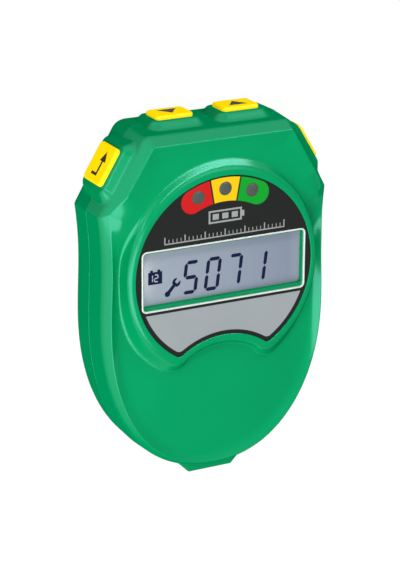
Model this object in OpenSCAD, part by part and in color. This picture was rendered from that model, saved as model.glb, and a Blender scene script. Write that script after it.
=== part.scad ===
// Hand-held battery tester: a two-part moulded housing with a round dial, a display behind
// a clear window, three lamps, four sprung keys round the top and a lead gland at the foot.
// It lies on its back: +Z out of the display, +Y towards the keys, +X to the right.

/* [Dial] */
// Radius of the round label
dial_r = 40; // [37:0.5:43]
// Width of the flat rim round the label
rim_w = 2.9; // [2.2:0.1:3.4]
// Height of the rim over the label
rim_h = 0.4; // [0.2:0.1:0.8]
// Radius of the arch cut into the foot of the label
arch_r = 32.6; // [30:0.2:35]
// Height from the dial's centre down to the top of the arch
arch_drop = 27.5; // [26:0.5:29]
// Radius of the two rounded tips beside the arch
tip_r = 2.5; // [1.8:0.1:3.2]
// Thickness of the printed label
label_t = 0.6; // [0.4:0.1:0.8]

/* [Housing] */
// Height from the back to the label
label_z = 35.5; // [34.5:0.5:38]
// Height from the back to the parting line
parting_z = 15; // [14.5:0.1:15.5]
// Thickness of the moulded walls
wall = 2.2; // [1.8:0.1:2.5]
// From the rim's edge up to the top wall
top_margin = 15.4; // [14:0.5:18]
// Half the width of the top wall
top_half = 32.2; // [31:0.2:34]
// From the rim's edge out to the waist
waist_margin = 7.1; // [6.8:0.1:8.5]
// How far the shoulders stand out past the waist
shoulder_out = 1.5; // [1:0.1:2.4]
// Height of the shoulders over the dial's centre
shoulder_y = 26.4; // [24:0.2:27]
// Height of the waist over the dial's centre
waist_y = 5; // [2:0.5:8]
// How far the belly stands out past the waist
belly_out = 0.6; // [0:0.1:1.2]
// Depth of the belly's widest line under the dial's centre
belly_y = 19.5; // [17:0.5:23]
// From the rim's edge down to the foot of the housing
foot_margin = 45.4; // [44:0.2:49]
// Power of the belly's curve, where 2 is an ellipse
belly_power = 2.2; // [2:0.05:2.4]
// Draft of the side walls from the fold to the parting line
flare = 0.6; // [0.3:0.1:1]
// Draft of the walls above the shoulder
head_flare = 0.9; // [0.6:0.1:1.2]
// Radius of the rounded edge round the back
back_r = 4.5; // [3.5:0.5:5]
// Radius of the upper corners at the fold
corner_r = 4.5; // [3.5:0.5:5]

/* [Front face] */
// Width of the bevel along the top and the slanted corners
bevel_w = 3.5; // [2.5:0.1:4]
// Width of the bevel along the sides and the belly
side_bevel_w = 2.3; // [1.8:0.1:2.8]
// Height of the bevel
bevel_h = 4.5; // [3.5:0.5:5]
// Depth of the upper ridge under the label
top_ridge_drop = 1.9; // [1.5:0.1:2.5]
// Depth of the side ridge under the label
side_ridge_drop = 4.6; // [4:0.1:5]
// Depth of the dished face inside the upper ridge
dish = 0.6; // [0.3:0.1:0.9]
// Depth of the dished face inside the side ridge
side_dish = 2; // [1.2:0.1:2.4]
// Run of the curve from the side ridge down to the dish
dish_run = 10; // [6:1:12]
// Run of the slope round the dial at the top
top_slope = 3.5; // [3:0.1:4]
// Run of the slope round the dial at the waist
side_slope = 1.5; // [1.2:0.1:2]
// Run of the slope round the dial over the belly
belly_slope = 4.7; // [4:0.1:5]
// How far the slanted ridge turns in above the shoulder
ridge_kink = 2; // [1:0.1:2.5]

/* [Keys] */
// Width of the two keys on the top wall
top_key_w = 16.4; // [15:0.2:17.4]
// Depth of the two keys on the top wall
top_key_d = 11.5; // [9:0.5:12]
// Width of the two keys on the slanted corners
side_key_w = 16.5; // [15:0.5:17.5]
// Depth of the two keys on the slanted corners
side_key_d = 15.5; // [13:0.5:16]
// Half the distance between the two top keys
top_key_x = 14.9; // [14.5:0.1:15.5]
// Distance from the upper corner to the middle of a slanted key
side_key_s = 17.7; // [17:0.1:18.4]
// Height of the raised key platforms over the wall
boss_h = 2.4; // [1.6:0.1:3]
// How far a key stands out of its platform
key_out = 1.7; // [1.2:0.1:2.2]
// Radius of the keys' upright corners
key_r = 1.8; // [1.2:0.1:2.4]
// Rounding of the keys' outer edge
key_edge = 0.7; // [0.4:0.1:0.9]
// Gap between a key and its opening
key_gap = 0.2; // [0.15:0.05:0.3]
// Travel of a key
key_travel = 1; // [0.6:0.1:1.1]

/* [Display] */
// From the dial's edge in to the window's two ends
window_edge = 2.8; // [2.6:0.1:5]
// Height of the clear window
window_h = 25.9; // [24:0.1:28]
// Radius of the window's corners
window_r = 2.2; // [1.5:0.1:3]
// Width of the ledge that carries the window
ledge = 1.2; // [0.9:0.1:1.6]
// Thickness of the display glass
glass_t = 1.8; // [1.4:0.1:2.2]
// Radius of the lamp windows
lamp_window_r = 2.8; // [2.6:0.1:3.2]
// Radius of the lamps
lamp_r = 2.5; // [2:0.1:2.55]
// From the dial's edge in to the middle of the lamps
lamp_edge = 5.4; // [5:0.1:6.5]
// Angle between neighbouring lamps
lamp_angle = 20.5; // [19:0.5:22]

/* [Inside] */
// Thickness of the main board
board_t = 1.6; // [1.2:0.2:2]
// Gap between the walls' fold and the edge of the board
board_edge = 7; // [6.6:0.1:7.2]
// Width of a key switch
switch_w = 6; // [5.4:0.2:6.4]
// Length of a key switch along its plunger
switch_l = 6; // [5.5:0.5:6.5]
// Radius of a switch's plunger
plunger_r = 1.6; // [1.3:0.1:1.8]
// Running clearance of the plunger
plunger_gap = 0.05; // [0.03:0.01:0.08]
// Radius of the case screws' shanks
case_screw_r = 1.45; // [1.25:0.05:1.6]
// Radius of the case screws' heads
case_head_r = 2.75; // [2.4:0.05:3]
// Radius of the board screws' shanks
board_screw_r = 1.2; // [1:0.05:1.3]
// Clearance round screws and small seats
seat_gap = 0.05; // [0.03:0.01:0.1]

/* [Lead gland] */
// Half the width of the foot tab at the housing
tab_half = 14.5; // [14:0.1:16]
// How far the tab stands out of the foot
tab_out = 3.3; // [2.4:0.1:4]
// Slant of the tab's two ends
tab_slant = 4.5; // [3:0.1:5]
// Half the thickness of the tab
tab_half_t = 8.7; // [7.8:0.1:8.8]
// Radius of the two lead bores
lead_r = 2.75; // [2.25:0.05:3]
// Distance between the two lead bores
lead_pitch = 8.4; // [7.6:0.1:9]
// Thickness of the rubber round a lead
gland_wall = 1.6; // [1.3:0.1:2]

/* [Hidden] */
$fn = 64;

housing_green = [0.01, 0.62, 0.37];
key_yellow = [0.96, 0.83, 0.04];
label_black = [0.1, 0.11, 0.1];
board_green = [0.05, 0.3, 0.16];
solder_metal = [0.75, 0.76, 0.78];
part_black = [0.09, 0.09, 0.1];

// Outline of the housing at the fold, from the dial's centre.
rim_r = dial_r + rim_w;
top_y = rim_r + top_margin;
waist_half = rim_r + waist_margin;
shoulder_half = waist_half + shoulder_out;
belly_half = waist_half + belly_out;
foot_y = -(rim_r + foot_margin);
belly_drop = -belly_y - foot_y;
slant_angle = atan2(shoulder_half - top_half, top_y - shoulder_y);
shoulder_slope = atan2(-2 * shoulder_out, shoulder_y - waist_y);

window_w = 2 * (dial_r - window_edge);
lamp_ring_r = dial_r - lamp_edge;

// Stations round one half of the housing, from the top's middle to the foot's middle.
top_steps = 4;
corner_steps = 4;
slant_steps = 9;
shoulder_steps = 3;
side_steps = 8;
flank_steps = 8;
tip_steps = 5;
arch_steps = 6;
kink_at = 0.74;
tip_from = 38;
tip_to = 52;
dial_stations = top_steps + corner_steps + slant_steps + shoulder_steps + 1 + side_steps + flank_steps;

// Heights over the back.
rim_z = label_z + rim_h;
pocket_z = label_z - label_t;
ceiling_z = pocket_z - 2;
top_ridge_z = label_z - top_ridge_drop;
side_ridge_z = label_z - side_ridge_drop;
lip_h = 1.5;
lip_w = 0.95;
lip_gap = 0.15;
rabbet = lip_w + lip_gap - wall;
back_draft = 0.3;
floor_t = wall + 0.2;

// Rounded tips of the label: one centre serves every offset of the outline.
arch_y = -(arch_drop + arch_r);
tip_y = (arch_y * arch_y + pow(dial_r - tip_r, 2) - pow(arch_r + tip_r, 2)) / (2 * arch_y);
tip_x = sqrt(pow(dial_r - tip_r, 2) - tip_y * tip_y);
tip_angle = atan2(tip_y, tip_x);
arch_angle = atan2(tip_y - arch_y, tip_x);

// Keys: place on the fold line, turn from +Y, width, depth, platform's flat edge and its slope.
top_key_edge = [1.8, 1.6];
top_key_slope = 2.5;
side_key_edge = [2.2, 1.8];
side_key_slope = 2.8;
side_key_x = top_half + side_key_s * sin(slant_angle);
side_key_y = top_y - side_key_s * cos(slant_angle);
side_key_turn = 90 - slant_angle;
KEYS = [
    [-top_key_x, top_y, 0, top_key_w, top_key_d, top_key_edge, top_key_slope],
    [top_key_x, top_y, 0, top_key_w, top_key_d, top_key_edge, top_key_slope],
    [-side_key_x, side_key_y, -side_key_turn, side_key_w, side_key_d, side_key_edge, side_key_slope],
    [side_key_x, side_key_y, side_key_turn, side_key_w, side_key_d, side_key_edge, side_key_slope]
];
boss_top = head_flare + boss_h;
key_top = boss_top + key_out;
flange_gap = 0.3;
flange_t = 1.2;
flange_w = 1.1;
flange_top = -(wall + flange_gap);
stem_l = 3.2;
stem_end = flange_top - flange_t - stem_l;
stem_r = 1.5;
switch_front = stem_end - key_travel - 0.2;
switch_back = switch_front - switch_l;
switch_floor = 1.2;
plunger_end = switch_back + switch_floor + key_travel + 0.2;

// Inner pieces.
board_top = parting_z + 5;
board_low = board_top - board_t;
board_foot = -48;
glass_top = ceiling_z - 0.2;
glass_low = glass_top - glass_t;
opening_w = window_w - 2 * ledge;
opening_h = window_h - 2 * ledge;
glass_w = opening_w + 2.4;
glass_h = opening_h + 4.4;
glass_seat = 1;
holder_wall = 1.2;
strip_w = 1.5;
strip_y = glass_h / 2 - glass_seat - 0.2 - strip_w;
backlight_h = 2 * strip_y - 0.4;
dome_top = pocket_z - 0.2;
led_flange_z = board_top + 6.5;
led_flange_t = 1;
led_flange_r = lamp_r + 0.4;
leg_r = 0.25;
leg_x = 0.6;
chip = [10, 10, 1.5];
transistor = [10, 15.5, 4.5];
transistor_x = 20;
transistor_y = -22;
chip_y = 2;
shunt_drop = 5;
shunt_half = 11;
shunt_d = 6;
shunt_t = 1;
shunt_y = -14;
capacitor_r = 5;
capacitor_h = 11;
capacitor_x = 18;
capacitor_y = board_foot + 9;
block_d = 9;
block_h = 10;
block_y = board_foot + 0.5;
block_screw_y = block_y + 4.5;
block_screw_r = 1.5;
wire_r = 1.8;
slot_w = 0.6;
slot_d = 0.7;
// Screws: place, and the height of the skin over them.
case_top_margin = 8;
case_top_x = top_half - 4;
case_top_y = top_y - case_top_margin;
case_foot_margin = 26.5;
case_foot_x = case_top_x - 1;
case_foot_y = foot_y + case_foot_margin;
board_upper_in = [10, 13];
board_lower_in = [4, 6];
board_upper = [dial_r - board_upper_in[0], dial_r - board_upper_in[1]];
board_lower = [dial_r - board_lower_in[0], -dial_r + board_lower_in[1]];
CASE_SCREWS = [
    [-case_top_x, case_top_y, top_ridge_z - dish], [case_top_x, case_top_y, top_ridge_z - dish],
    [-case_foot_x, case_foot_y, side_ridge_z - side_dish],
    [case_foot_x, case_foot_y, side_ridge_z - side_dish]
];
BOARD_SCREWS = [
    [-board_upper[0], board_upper[1], pocket_z], [board_upper[0], board_upper[1], pocket_z],
    [-board_lower[0], board_lower[1], side_ridge_z - side_dish],
    [board_lower[0], board_lower[1], side_ridge_z - side_dish]
];
skin_cover = 1;
case_boss_r = case_screw_r + 2;
case_post_r = case_head_r + 1.4;
case_seat_z = 8;
case_head_h = 2;
case_bite = 9;
board_boss_r = board_screw_r + 1.8;
board_head_r = board_screw_r + 1;
board_head_h = 1.6;
board_bite = 5.5;
blind = 2;

// Ribs on the back's floor.
rib_w = 1.2;
rib_h = 2.6;
rib_x = 20;
rib_to_y = 35;
rib_foot_y = -50;
cross_ribs = [-30, 12];
cross_half = 38;

// Tab and gland at the foot.
tab_y = foot_y - tab_out;
gland_w = lead_pitch + 2 * (lead_r + gland_wall);
gland_h = 2 * (lead_r + gland_wall);
gland_out = tab_y + 0.3;
gland_in = foot_y + 5;
gland_r = 3;
gland_flange_w = 1.4;
gland_flange_t = 2;

// Length of the cutting bodies, past everything they cut.
reach = top_y + 2;

// The origin lies under the middle of the whole outline.
dial_y = -(top_y + key_top + tab_y) / 2;

// Heights that change round the housing: upper part, sides and belly.
function ease(t) = let (c = min(max(t, 0), 1)) c * c * (3 - 2 * c);
function mix(a, b, t) = a + (b - a) * t;

// Half outline

function turn(a) = [cos(a), sin(a)];
function miter(a, b) = turn((a + b) / 2) / cos((a - b) / 2);
function corner(p, a, b, g, r, steps) =
    let (rad = max(r + g, 0.6), c = p + (g - rad) * miter(a, b))
    [for (i = [0:steps]) c + rad * turn(mix(a, b, i / steps))];
function side_half(y) = y > waist_y
    ? waist_half + shoulder_out * pow((y - waist_y) / (shoulder_y - waist_y), 2)
    : waist_half + belly_out * ease((waist_y - y) / (waist_y + belly_y));
function belly_point(a, g) = [
    (belly_half + g) * pow(cos(a), 2 / belly_power),
    -belly_y - (belly_drop + g) * pow(sin(a), 2 / belly_power)
];
belly_angles = concat(
    [for (i = [1:flank_steps]) tip_from * i / flank_steps],
    [for (i = [1:tip_steps]) mix(tip_from, tip_to, i / tip_steps)],
    [for (i = [1:arch_steps]) mix(tip_to, 90, i / arch_steps)]
);

// Points of one half at an offset g from the fold, with the upper corner's radius r.
// gs is the offset below the shoulder, and kink turns the slant's line inwards.
function half_outline(g, gs, r, kink = 0) =
    let (
        upper = corner([top_half, top_y], 90, slant_angle, g, r, corner_steps),
        shoulder = corner([shoulder_half, shoulder_y], slant_angle, shoulder_slope, gs, 2.2, shoulder_steps),
        from = upper[corner_steps],
        to = shoulder[0],
        low = shoulder[shoulder_steps][1]
    )
    concat(
        [for (i = [0:top_steps - 1]) [upper[0][0] * i / top_steps, top_y + g]],
        upper,
        [for (i = [1:slant_steps - 1]) let (t = i / slant_steps)
            mix(from, to, t) - kink * turn(slant_angle) * min(t / kink_at, (1 - t) / (1 - kink_at))],
        shoulder,
        [for (i = [1:side_steps]) let (y = mix(low, -belly_y, i / side_steps)) [side_half(y) + gs, y]],
        [for (a = belly_angles) belly_point(a, gs)]
    );

// One value per station: top, along the slant, sides, and over the belly.
function station_values(top, side, foot) = concat(
    [for (i = [0:top_steps + corner_steps]) top],
    [for (i = [1:slant_steps - 1]) let (t = i / slant_steps)
        mix(top, side, t < kink_at ? 0.15 * t / kink_at : 0.15 + 0.85 * (t - kink_at) / (1 - kink_at))],
    [for (i = [0:shoulder_steps]) side],
    [for (i = [1:side_steps]) side],
    [for (a = belly_angles) mix(side, foot, ease(a / 60))]
);
function lifted(points, heights) = [for (i = [0:len(points) - 1]) [points[i][0], points[i][1], heights[i]]];
function level(points, z) = [for (p = points) [p[0], p[1], z]];
// The side wall's line at an offset g from its edge at the parting line.
function wall_line(g, z, r = corner_r) = level(half_outline(head_flare + g, flare + g, r), z);

// Half of the dial's outline: a circle, a rounded tip and the arch, at offsets k per station.
ridge_half = half_outline(-bevel_w, -side_bevel_w, corner_r, ridge_kink);
function polar(p) = atan2(p[1], p[0]);
last_polar = polar(ridge_half[dial_stations - 1]);
dial_angles = [for (i = [0:dial_stations - 1])
    mix(90, tip_angle, (90 - polar(ridge_half[i])) / (90 - last_polar))];
function half_dial(k) = concat(
    [for (i = [0:dial_stations - 1]) (dial_r + k[i]) * turn(dial_angles[i])],
    [for (i = [1:tip_steps]) [tip_x, tip_y]
        + (tip_r + k[dial_stations - 1 + i]) * turn(mix(tip_angle, arch_angle - 180, i / tip_steps))],
    [for (i = [1:arch_steps]) [0, arch_y]
        + (arch_r - k[dial_stations - 1 + tip_steps + i]) * turn(mix(arch_angle, 90, i / arch_steps))]
);
stations = len(ridge_half);
function same(k) = [for (i = [0:stations - 1]) k];

// The slope's run round the dial: wide at the top, narrow at the waist and wide over the belly.
slope_runs = [for (i = [0:stations - 1])
    i < dial_stations
        ? (dial_angles[i] > 0
            ? mix(side_slope, top_slope, pow(sin(dial_angles[i]), 2))
            : mix(side_slope, belly_slope, ease(-dial_angles[i] / 45)))
        : mix(belly_slope, belly_slope - 1.6, ease((i - dial_stations) / tip_steps))];
foot_offsets = [for (r = slope_runs) rim_w + r];

ridge_zs = station_values(top_ridge_z, side_ridge_z, side_ridge_z + 0.3);
fold_zs = [for (z = ridge_zs) z - bevel_h];

// The dished face: full depth from the slope's foot outwards, then a parabola up to the ridge.
foot_half = half_dial(foot_offsets);
dish_depths = station_values(dish, side_dish, side_dish);
dish_runs = station_values(dish_run * 0.4, dish_run, dish_run);
dish_zs = ridge_zs - dish_depths;
function dish_row(x) = [for (i = [0:stations - 1])
    let (
        share = min(dish_runs[i] / norm(ridge_half[i] - foot_half[i]), 0.8),
        p = mix(ridge_half[i], foot_half[i], x * share)
    )
    [p[0], p[1], ridge_zs[i] - dish_depths[i] * x * (2 - x)]];

// Closed loops and skins

function whole(half) = concat(half, [for (i = [len(half) - 2:-1:1]) [-half[i][0], half[i][1], half[i][2]]]);
function centre(loop) = [0, 0, loop[0][2]];

// A solid through a list of loops, each run clockwise seen from above, from the upper cap
// over the outside to the lower cap, which may lie inside the first.
module skin(loops, middle_first = [0, 0], middle_last = [0, 0]) {
    n = len(loops[0]);
    m = len(loops);
    points = concat(
        [for (l = loops) each l],
        [concat(middle_first, [loops[0][0][2]]), concat(middle_last, [loops[m - 1][0][2]])]
    );
    sides = [for (j = [0:m - 2], i = [0:n - 1]) let (a = j * n + i, b = j * n + (i + 1) % n)
        each [[a, a + n, b + n], [a, b + n, b]]];
    first_cap = [for (i = [0:n - 1]) [m * n, i, (i + 1) % n]];
    last_cap = [for (i = [0:n - 1]) let (k = (m - 1) * n) [m * n + 1, k + (i + 1) % n, k + i]];
    polyhedron(points = points, faces = concat(sides, first_cap, last_cap), convexity = 8);
}

function rounded_loop(w, d, r, z, steps = 4) = [
    for (c = [[1, 1, 90], [1, -1, 0], [-1, -1, -90], [-1, 1, 180]], i = [0:steps])
        let (a = c[2] - 90 * i / steps)
        [c[0] * (w / 2 - r) + r * cos(a), c[1] * (d / 2 - r) + r * sin(a), z]
];

module rounded_plate(w, d, r) {
    for (x = [-1, 1], y = [-1, 1])
        translate([x * (w / 2 - r), y * (d / 2 - r)])
            circle(r);
    square([w - 2 * r, d], center = true);
    square([w, d - 2 * r], center = true);
}

module rounded_block(w, d, r, h) {
    linear_extrude(h)
        rounded_plate(w, d, r);
}

module at_dial() {
    translate([0, dial_y, 0])
        children();
}

// Local frame of a key: x along the wall, y towards the back, z out of the housing.
module at_key(k) {
    at_dial()
        translate([k[0], k[1], parting_z])
            rotate([0, 0, -k[2]])
                rotate([-90, 0, 0])
                    children();
}

// Housing

module front_shell() {
    fold = lifted(half_outline(0, 0, corner_r), fold_zs);
    ridge = lifted(ridge_half, ridge_zs);
    inner_dial = half_dial(same(rim_w - 1.4));
    skin([for (half = [
        level(half_dial(same(0)), pocket_z),
        level(half_dial(same(0)), rim_z),
        level(half_dial(same(rim_w - 0.4)), rim_z),
        level(half_dial(same(rim_w)), rim_z - 0.35),
        lifted(foot_half, dish_zs),
        dish_row(1),
        dish_row(0.45),
        ridge,
        fold,
        wall_line(0, parting_z),
        wall_line(lip_w - wall, parting_z),
        wall_line(lip_w - wall, parting_z - lip_h),
        wall_line(-wall, parting_z - lip_h),
        lifted(half_outline(-wall, -wall, corner_r), [for (z = fold_zs) z - 1]),
        lifted(half_outline(-bevel_w - wall, -side_bevel_w - wall, corner_r), [for (z = dish_zs) z - wall]),
        lifted(half_dial([for (k = foot_offsets) max(k - 1.2, rim_w - 1.2)]), [for (z = dish_zs) z - wall]),
        level(inner_dial, ceiling_z)
    ]) whole(half)]);
}

module rear_shell() {
    back_steps = 5;
    back_corner_r = corner_r + 1.5;
    inner_r = back_r - wall;
    outside = [for (i = [0:back_steps]) let (a = 90 * i / back_steps, g = -back_r * (1 - cos(a)))
        level(half_outline(head_flare + g, flare - back_draft + g, back_corner_r), back_r * (1 - sin(a)))];
    skin([for (half = concat(
        [
            wall_line(-wall - inner_r, floor_t, back_corner_r),
            wall_line(-wall - back_draft, floor_t + inner_r, back_corner_r),
            wall_line(-wall, parting_z - lip_h - lip_gap),
            wall_line(rabbet, parting_z - lip_h - lip_gap),
            wall_line(rabbet, parting_z),
            wall_line(0, parting_z)
        ],
        outside
    )) whole(half)]);
}

// Raised platform round a key, cut to one side of the parting line.
module key_boss(k, side) {
    flat_w = k[3] + 2 * k[5][0];
    flat_d = k[4] + 2 * k[5][1];
    run = 2 * k[6];
    at_key(k)
        intersection() {
            skin([
                rounded_loop(flat_w - 0.8, flat_d - 0.8, 2.2, boss_top),
                rounded_loop(flat_w, flat_d, 2.6, boss_top - 0.35),
                rounded_loop(flat_w + run, flat_d + run, 3.8, head_flare - 0.2),
                rounded_loop(flat_w + run, flat_d + run, 3.8, head_flare + rabbet)
            ]);
            translate([-reach / 2, side > 0 ? -reach : 0, -reach / 2])
                cube(reach);
        }
}

module key_opening(k) {
    at_key(k)
        translate([0, 0, -reach / 6])
            rounded_block(k[3] + 2 * key_gap, k[4] + 2 * key_gap, key_r + key_gap, reach);
}

// Tab at the foot, half in each cover, and the slot through it for the gland.
module foot_tab(side) {
    at_dial()
        translate([0, 0, parting_z - (side > 0 ? 0 : tab_half_t)])
            linear_extrude(tab_half_t)
                polygon([
                    [tab_half, foot_y + 2.6], [tab_half, foot_y + 1.4],
                    [tab_half - tab_slant, tab_y], [-tab_half + tab_slant, tab_y],
                    [-tab_half, foot_y + 1.4], [-tab_half, foot_y + 2.6]
                ]);
}

module gland_slot() {
    at_dial()
        translate([0, gland_in, parting_z])
            rotate([90, 0, 0])
                rounded_block(gland_w + 2 * seat_gap, gland_h + 2 * seat_gap, gland_r, reach);
}

module front_cover() {
    color(housing_green)
        difference() {
            union() {
                at_dial()
                    front_shell();
                for (k = KEYS)
                    key_boss(k, 1);
                foot_tab(1);
                at_dial() {
                    for (p = CASE_SCREWS)
                        translate([p[0], p[1], parting_z])
                            cylinder(r = case_boss_r, h = p[2] - skin_cover - parting_z);
                    for (p = BOARD_SCREWS)
                        translate([p[0], p[1], board_top])
                            cylinder(r = board_boss_r, h = p[2] - skin_cover - board_top);
                }
            }
            for (k = KEYS)
                key_opening(k);
            gland_slot();
            at_dial() {
                // The tongue stops on both sides of the tab.
                translate([-tab_half - lip_gap, tab_y, parting_z - lip_h - 1])
                    cube([2 * (tab_half + lip_gap), tab_out + 2 * wall + 1, lip_h + 1]);
                translate([0, 0, board_top])
                    rounded_block(opening_w, opening_h, window_r - ledge, reach);
                lamp_places()
                    translate([0, 0, board_top])
                        cylinder(r = lamp_r + 0.1, h = reach);
                for (p = CASE_SCREWS)
                    translate([p[0], p[1], parting_z - 1])
                        cylinder(r = case_screw_r + seat_gap, h = case_bite + blind + 1);
                for (p = BOARD_SCREWS)
                    translate([p[0], p[1], board_top - 1])
                        cylinder(r = board_screw_r + seat_gap, h = board_bite + blind + 1);
            }
        }
}

module rear_cover() {
    color(housing_green)
        difference() {
            union() {
                at_dial()
                    rear_shell();
                for (k = KEYS)
                    key_boss(k, -1);
                foot_tab(-1);
                at_dial() {
                    for (p = CASE_SCREWS)
                        translate([p[0], p[1], floor_t / 2])
                            cylinder(r = case_post_r, h = parting_z - floor_t / 2);
                    for (x = [-rib_x, rib_x])
                        translate([x - rib_w / 2, rib_foot_y, floor_t / 2])
                            cube([rib_w, rib_to_y - rib_foot_y, rib_h + floor_t / 2]);
                    for (y = cross_ribs)
                        translate([-cross_half, y - rib_w / 2, floor_t / 2])
                            cube([2 * cross_half, rib_w, rib_h + floor_t / 2]);
                }
            }
            for (k = KEYS)
                key_opening(k);
            gland_slot();
            at_dial()
                for (p = CASE_SCREWS)
                    translate([p[0], p[1], -1]) {
                        cylinder(r = case_screw_r + 0.25, h = parting_z + 2);
                        cylinder(r = case_head_r + 0.3, h = case_seat_z + 1);
                    }
        }
}

// Dial

module face_label() {
    color(label_black)
        at_dial()
            translate([0, 0, pocket_z])
                difference() {
                    linear_extrude(label_t)
                        polygon([for (p = whole(level(half_dial(same(-0.15)), 0))) [p[0], p[1]]]);
                    translate([0, 0, -1])
                        rounded_block(window_w + 2 * seat_gap, window_h + 2 * seat_gap, window_r + seat_gap, label_t + 2);
                    lamp_places()
                        translate([0, 0, -1])
                            cylinder(r = lamp_window_r + seat_gap, h = label_t + 2);
                }
}

module lamp_places() {
    for (a = [-1, 0, 1])
        translate([lamp_ring_r * sin(a * lamp_angle), lamp_ring_r * cos(a * lamp_angle), 0])
            children();
}

module display_window() {
    color([0.8, 0.88, 0.9, 0.4])
        at_dial()
            translate([0, 0, pocket_z])
                rounded_block(window_w, window_h, window_r, label_t);
}

module lamp_windows() {
    color([0.3, 0.32, 0.3])
        at_dial()
            lamp_places()
                translate([0, 0, pocket_z])
                    cylinder(r = lamp_window_r, h = label_t);
}

// Keys, switches and plungers

module key(k) {
    color(key_yellow)
        at_key(k) {
            skin(concat(
                [for (i = [0:3]) let (a = 30 * i, in = key_edge * (1 - sin(a)))
                    rounded_loop(k[3] - 2 * in, k[4] - 2 * in, key_r - in * 0.6, key_top - key_edge * (1 - cos(a)))],
                [rounded_loop(k[3], k[4], key_r, flange_top)]
            ));
            translate([0, 0, flange_top - flange_t])
                rounded_block(k[3] + 2 * flange_w, k[4] + 2 * flange_w, key_r, flange_t);
            translate([0, 0, stem_end])
                cylinder(r = stem_r, h = flange_top - stem_end);
        }
}

module switch(k) {
    color(part_black)
        at_key(k)
            difference() {
                translate([-switch_w / 2, parting_z - board_low, switch_back])
                    cube([switch_w, board_low - parting_z + switch_w / 2, switch_l]);
                translate([0, 0, switch_back + switch_floor])
                    cylinder(r = plunger_r + plunger_gap, h = switch_l);
            }
}

module plunger(k) {
    color([0.85, 0.85, 0.82])
        at_key(k)
            translate([0, 0, plunger_end])
                cylinder(r = plunger_r, h = stem_end - plunger_end);
}

module down_key() key(KEYS[0]);
module up_key() key(KEYS[1]);
module escape_key() key(KEYS[2]);
module enter_key() key(KEYS[3]);
module down_switch() switch(KEYS[0]);
module up_switch() switch(KEYS[1]);
module escape_switch() switch(KEYS[2]);
module enter_switch() switch(KEYS[3]);
module down_plunger() plunger(KEYS[0]);
module up_plunger() plunger(KEYS[1]);
module escape_plunger() plunger(KEYS[2]);
module enter_plunger() plunger(KEYS[3]);

// Display

module lcd_glass() {
    color([0.62, 0.66, 0.7])
        at_dial()
            translate([-glass_w / 2, -glass_h / 2, glass_low])
                cube([glass_w, glass_h, glass_t]);
}

module lcd_holder() {
    color([0.9, 0.9, 0.88])
        at_dial()
            translate([0, 0, board_top])
                difference() {
                    translate([-glass_w / 2 - holder_wall, -glass_h / 2 - holder_wall, 0])
                        cube([glass_w + 2 * holder_wall, glass_h + 2 * holder_wall, glass_low + glass_seat - board_top]);
                    translate([-glass_w / 2 + glass_seat, -glass_h / 2 + glass_seat, -1])
                        cube([glass_w - 2 * glass_seat, glass_h - 2 * glass_seat, reach]);
                    translate([-glass_w / 2 - seat_gap, -glass_h / 2 - seat_gap, glass_low - board_top])
                        cube([glass_w + 2 * seat_gap, glass_h + 2 * seat_gap, reach]);
                }
}

module lcd_backlight() {
    color([0.96, 0.97, 0.98])
        at_dial()
            translate([-opening_w / 2, -backlight_h / 2, board_top])
                cube([opening_w, backlight_h, glass_low - board_top]);
}

module lcd_connectors() {
    color([0.85, 0.55, 0.6])
        at_dial()
            for (y = [-strip_y - strip_w, strip_y])
                translate([-opening_w / 2, y, board_top])
                    cube([opening_w, strip_w, glass_low - board_top]);
}

module led(place, tint) {
    color(tint)
        at_dial()
            translate([lamp_ring_r * sin(place * lamp_angle), lamp_ring_r * cos(place * lamp_angle), 0]) {
                translate([0, 0, led_flange_z]) {
                    cylinder(r = led_flange_r, h = led_flange_t);
                    cylinder(r = lamp_r, h = dome_top - lamp_r - led_flange_z);
                }
                translate([0, 0, dome_top - lamp_r])
                    sphere(r = lamp_r);
                for (x = [-leg_x, leg_x])
                    translate([x, 0, board_top])
                        cylinder(r = leg_r, h = led_flange_z - board_top + led_flange_t / 2);
            }
}

module red_led() led(-1, [0.85, 0.1, 0.1]);
module yellow_led() led(0, [0.95, 0.8, 0.1]);
module green_led() led(1, [0.1, 0.7, 0.2]);

module led_spacers() {
    color([0.92, 0.92, 0.9])
        at_dial()
            lamp_places()
                translate([0, 0, board_top])
                    difference() {
                        cylinder(r = led_flange_r, h = led_flange_z - board_top);
                        translate([0, 0, -1])
                            cylinder(r = leg_x + 2 * leg_r, h = reach);
                    }
}

// Board and what it carries

module main_board() {
    color(board_green)
        at_dial()
            translate([0, 0, board_low])
                difference() {
                    intersection() {
                        linear_extrude(board_t)
                            polygon([for (p = whole(level(half_outline(-board_edge, -board_edge, corner_r), 0))) [p[0], p[1]]]);
                        translate([-reach, board_foot, -1])
                            cube([2 * reach, 2 * reach, board_t + 2]);
                    }
                    for (p = CASE_SCREWS)
                        translate([p[0], p[1], -1])
                            cylinder(r = case_boss_r + 0.4, h = board_t + 2);
                    for (p = BOARD_SCREWS)
                        translate([p[0], p[1], -1])
                            cylinder(r = board_screw_r + 0.2, h = board_t + 2);
                }
}

module controller_chip() {
    color(part_black)
        at_dial()
            translate([-chip[0] / 2, chip_y, board_low - chip[2]])
                cube(chip);
}

module load_transistors() {
    color(part_black)
        at_dial()
            for (x = [-transistor_x, transistor_x])
                translate([x - transistor[0] / 2, transistor_y, board_low - transistor[2]])
                    cube(transistor);
}

module shunt_strip() {
    color([0.8, 0.55, 0.35])
        at_dial()
            translate([0, shunt_y, board_low])
                rotate([-90, 0, 0])
                    linear_extrude(shunt_d)
                        difference() {
                            translate([-shunt_half, 0])
                                square([2 * shunt_half, shunt_drop]);
                            translate([-shunt_half + shunt_t, -1])
                                square([2 * (shunt_half - shunt_t), shunt_drop - shunt_t + 1]);
                        }
}

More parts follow.
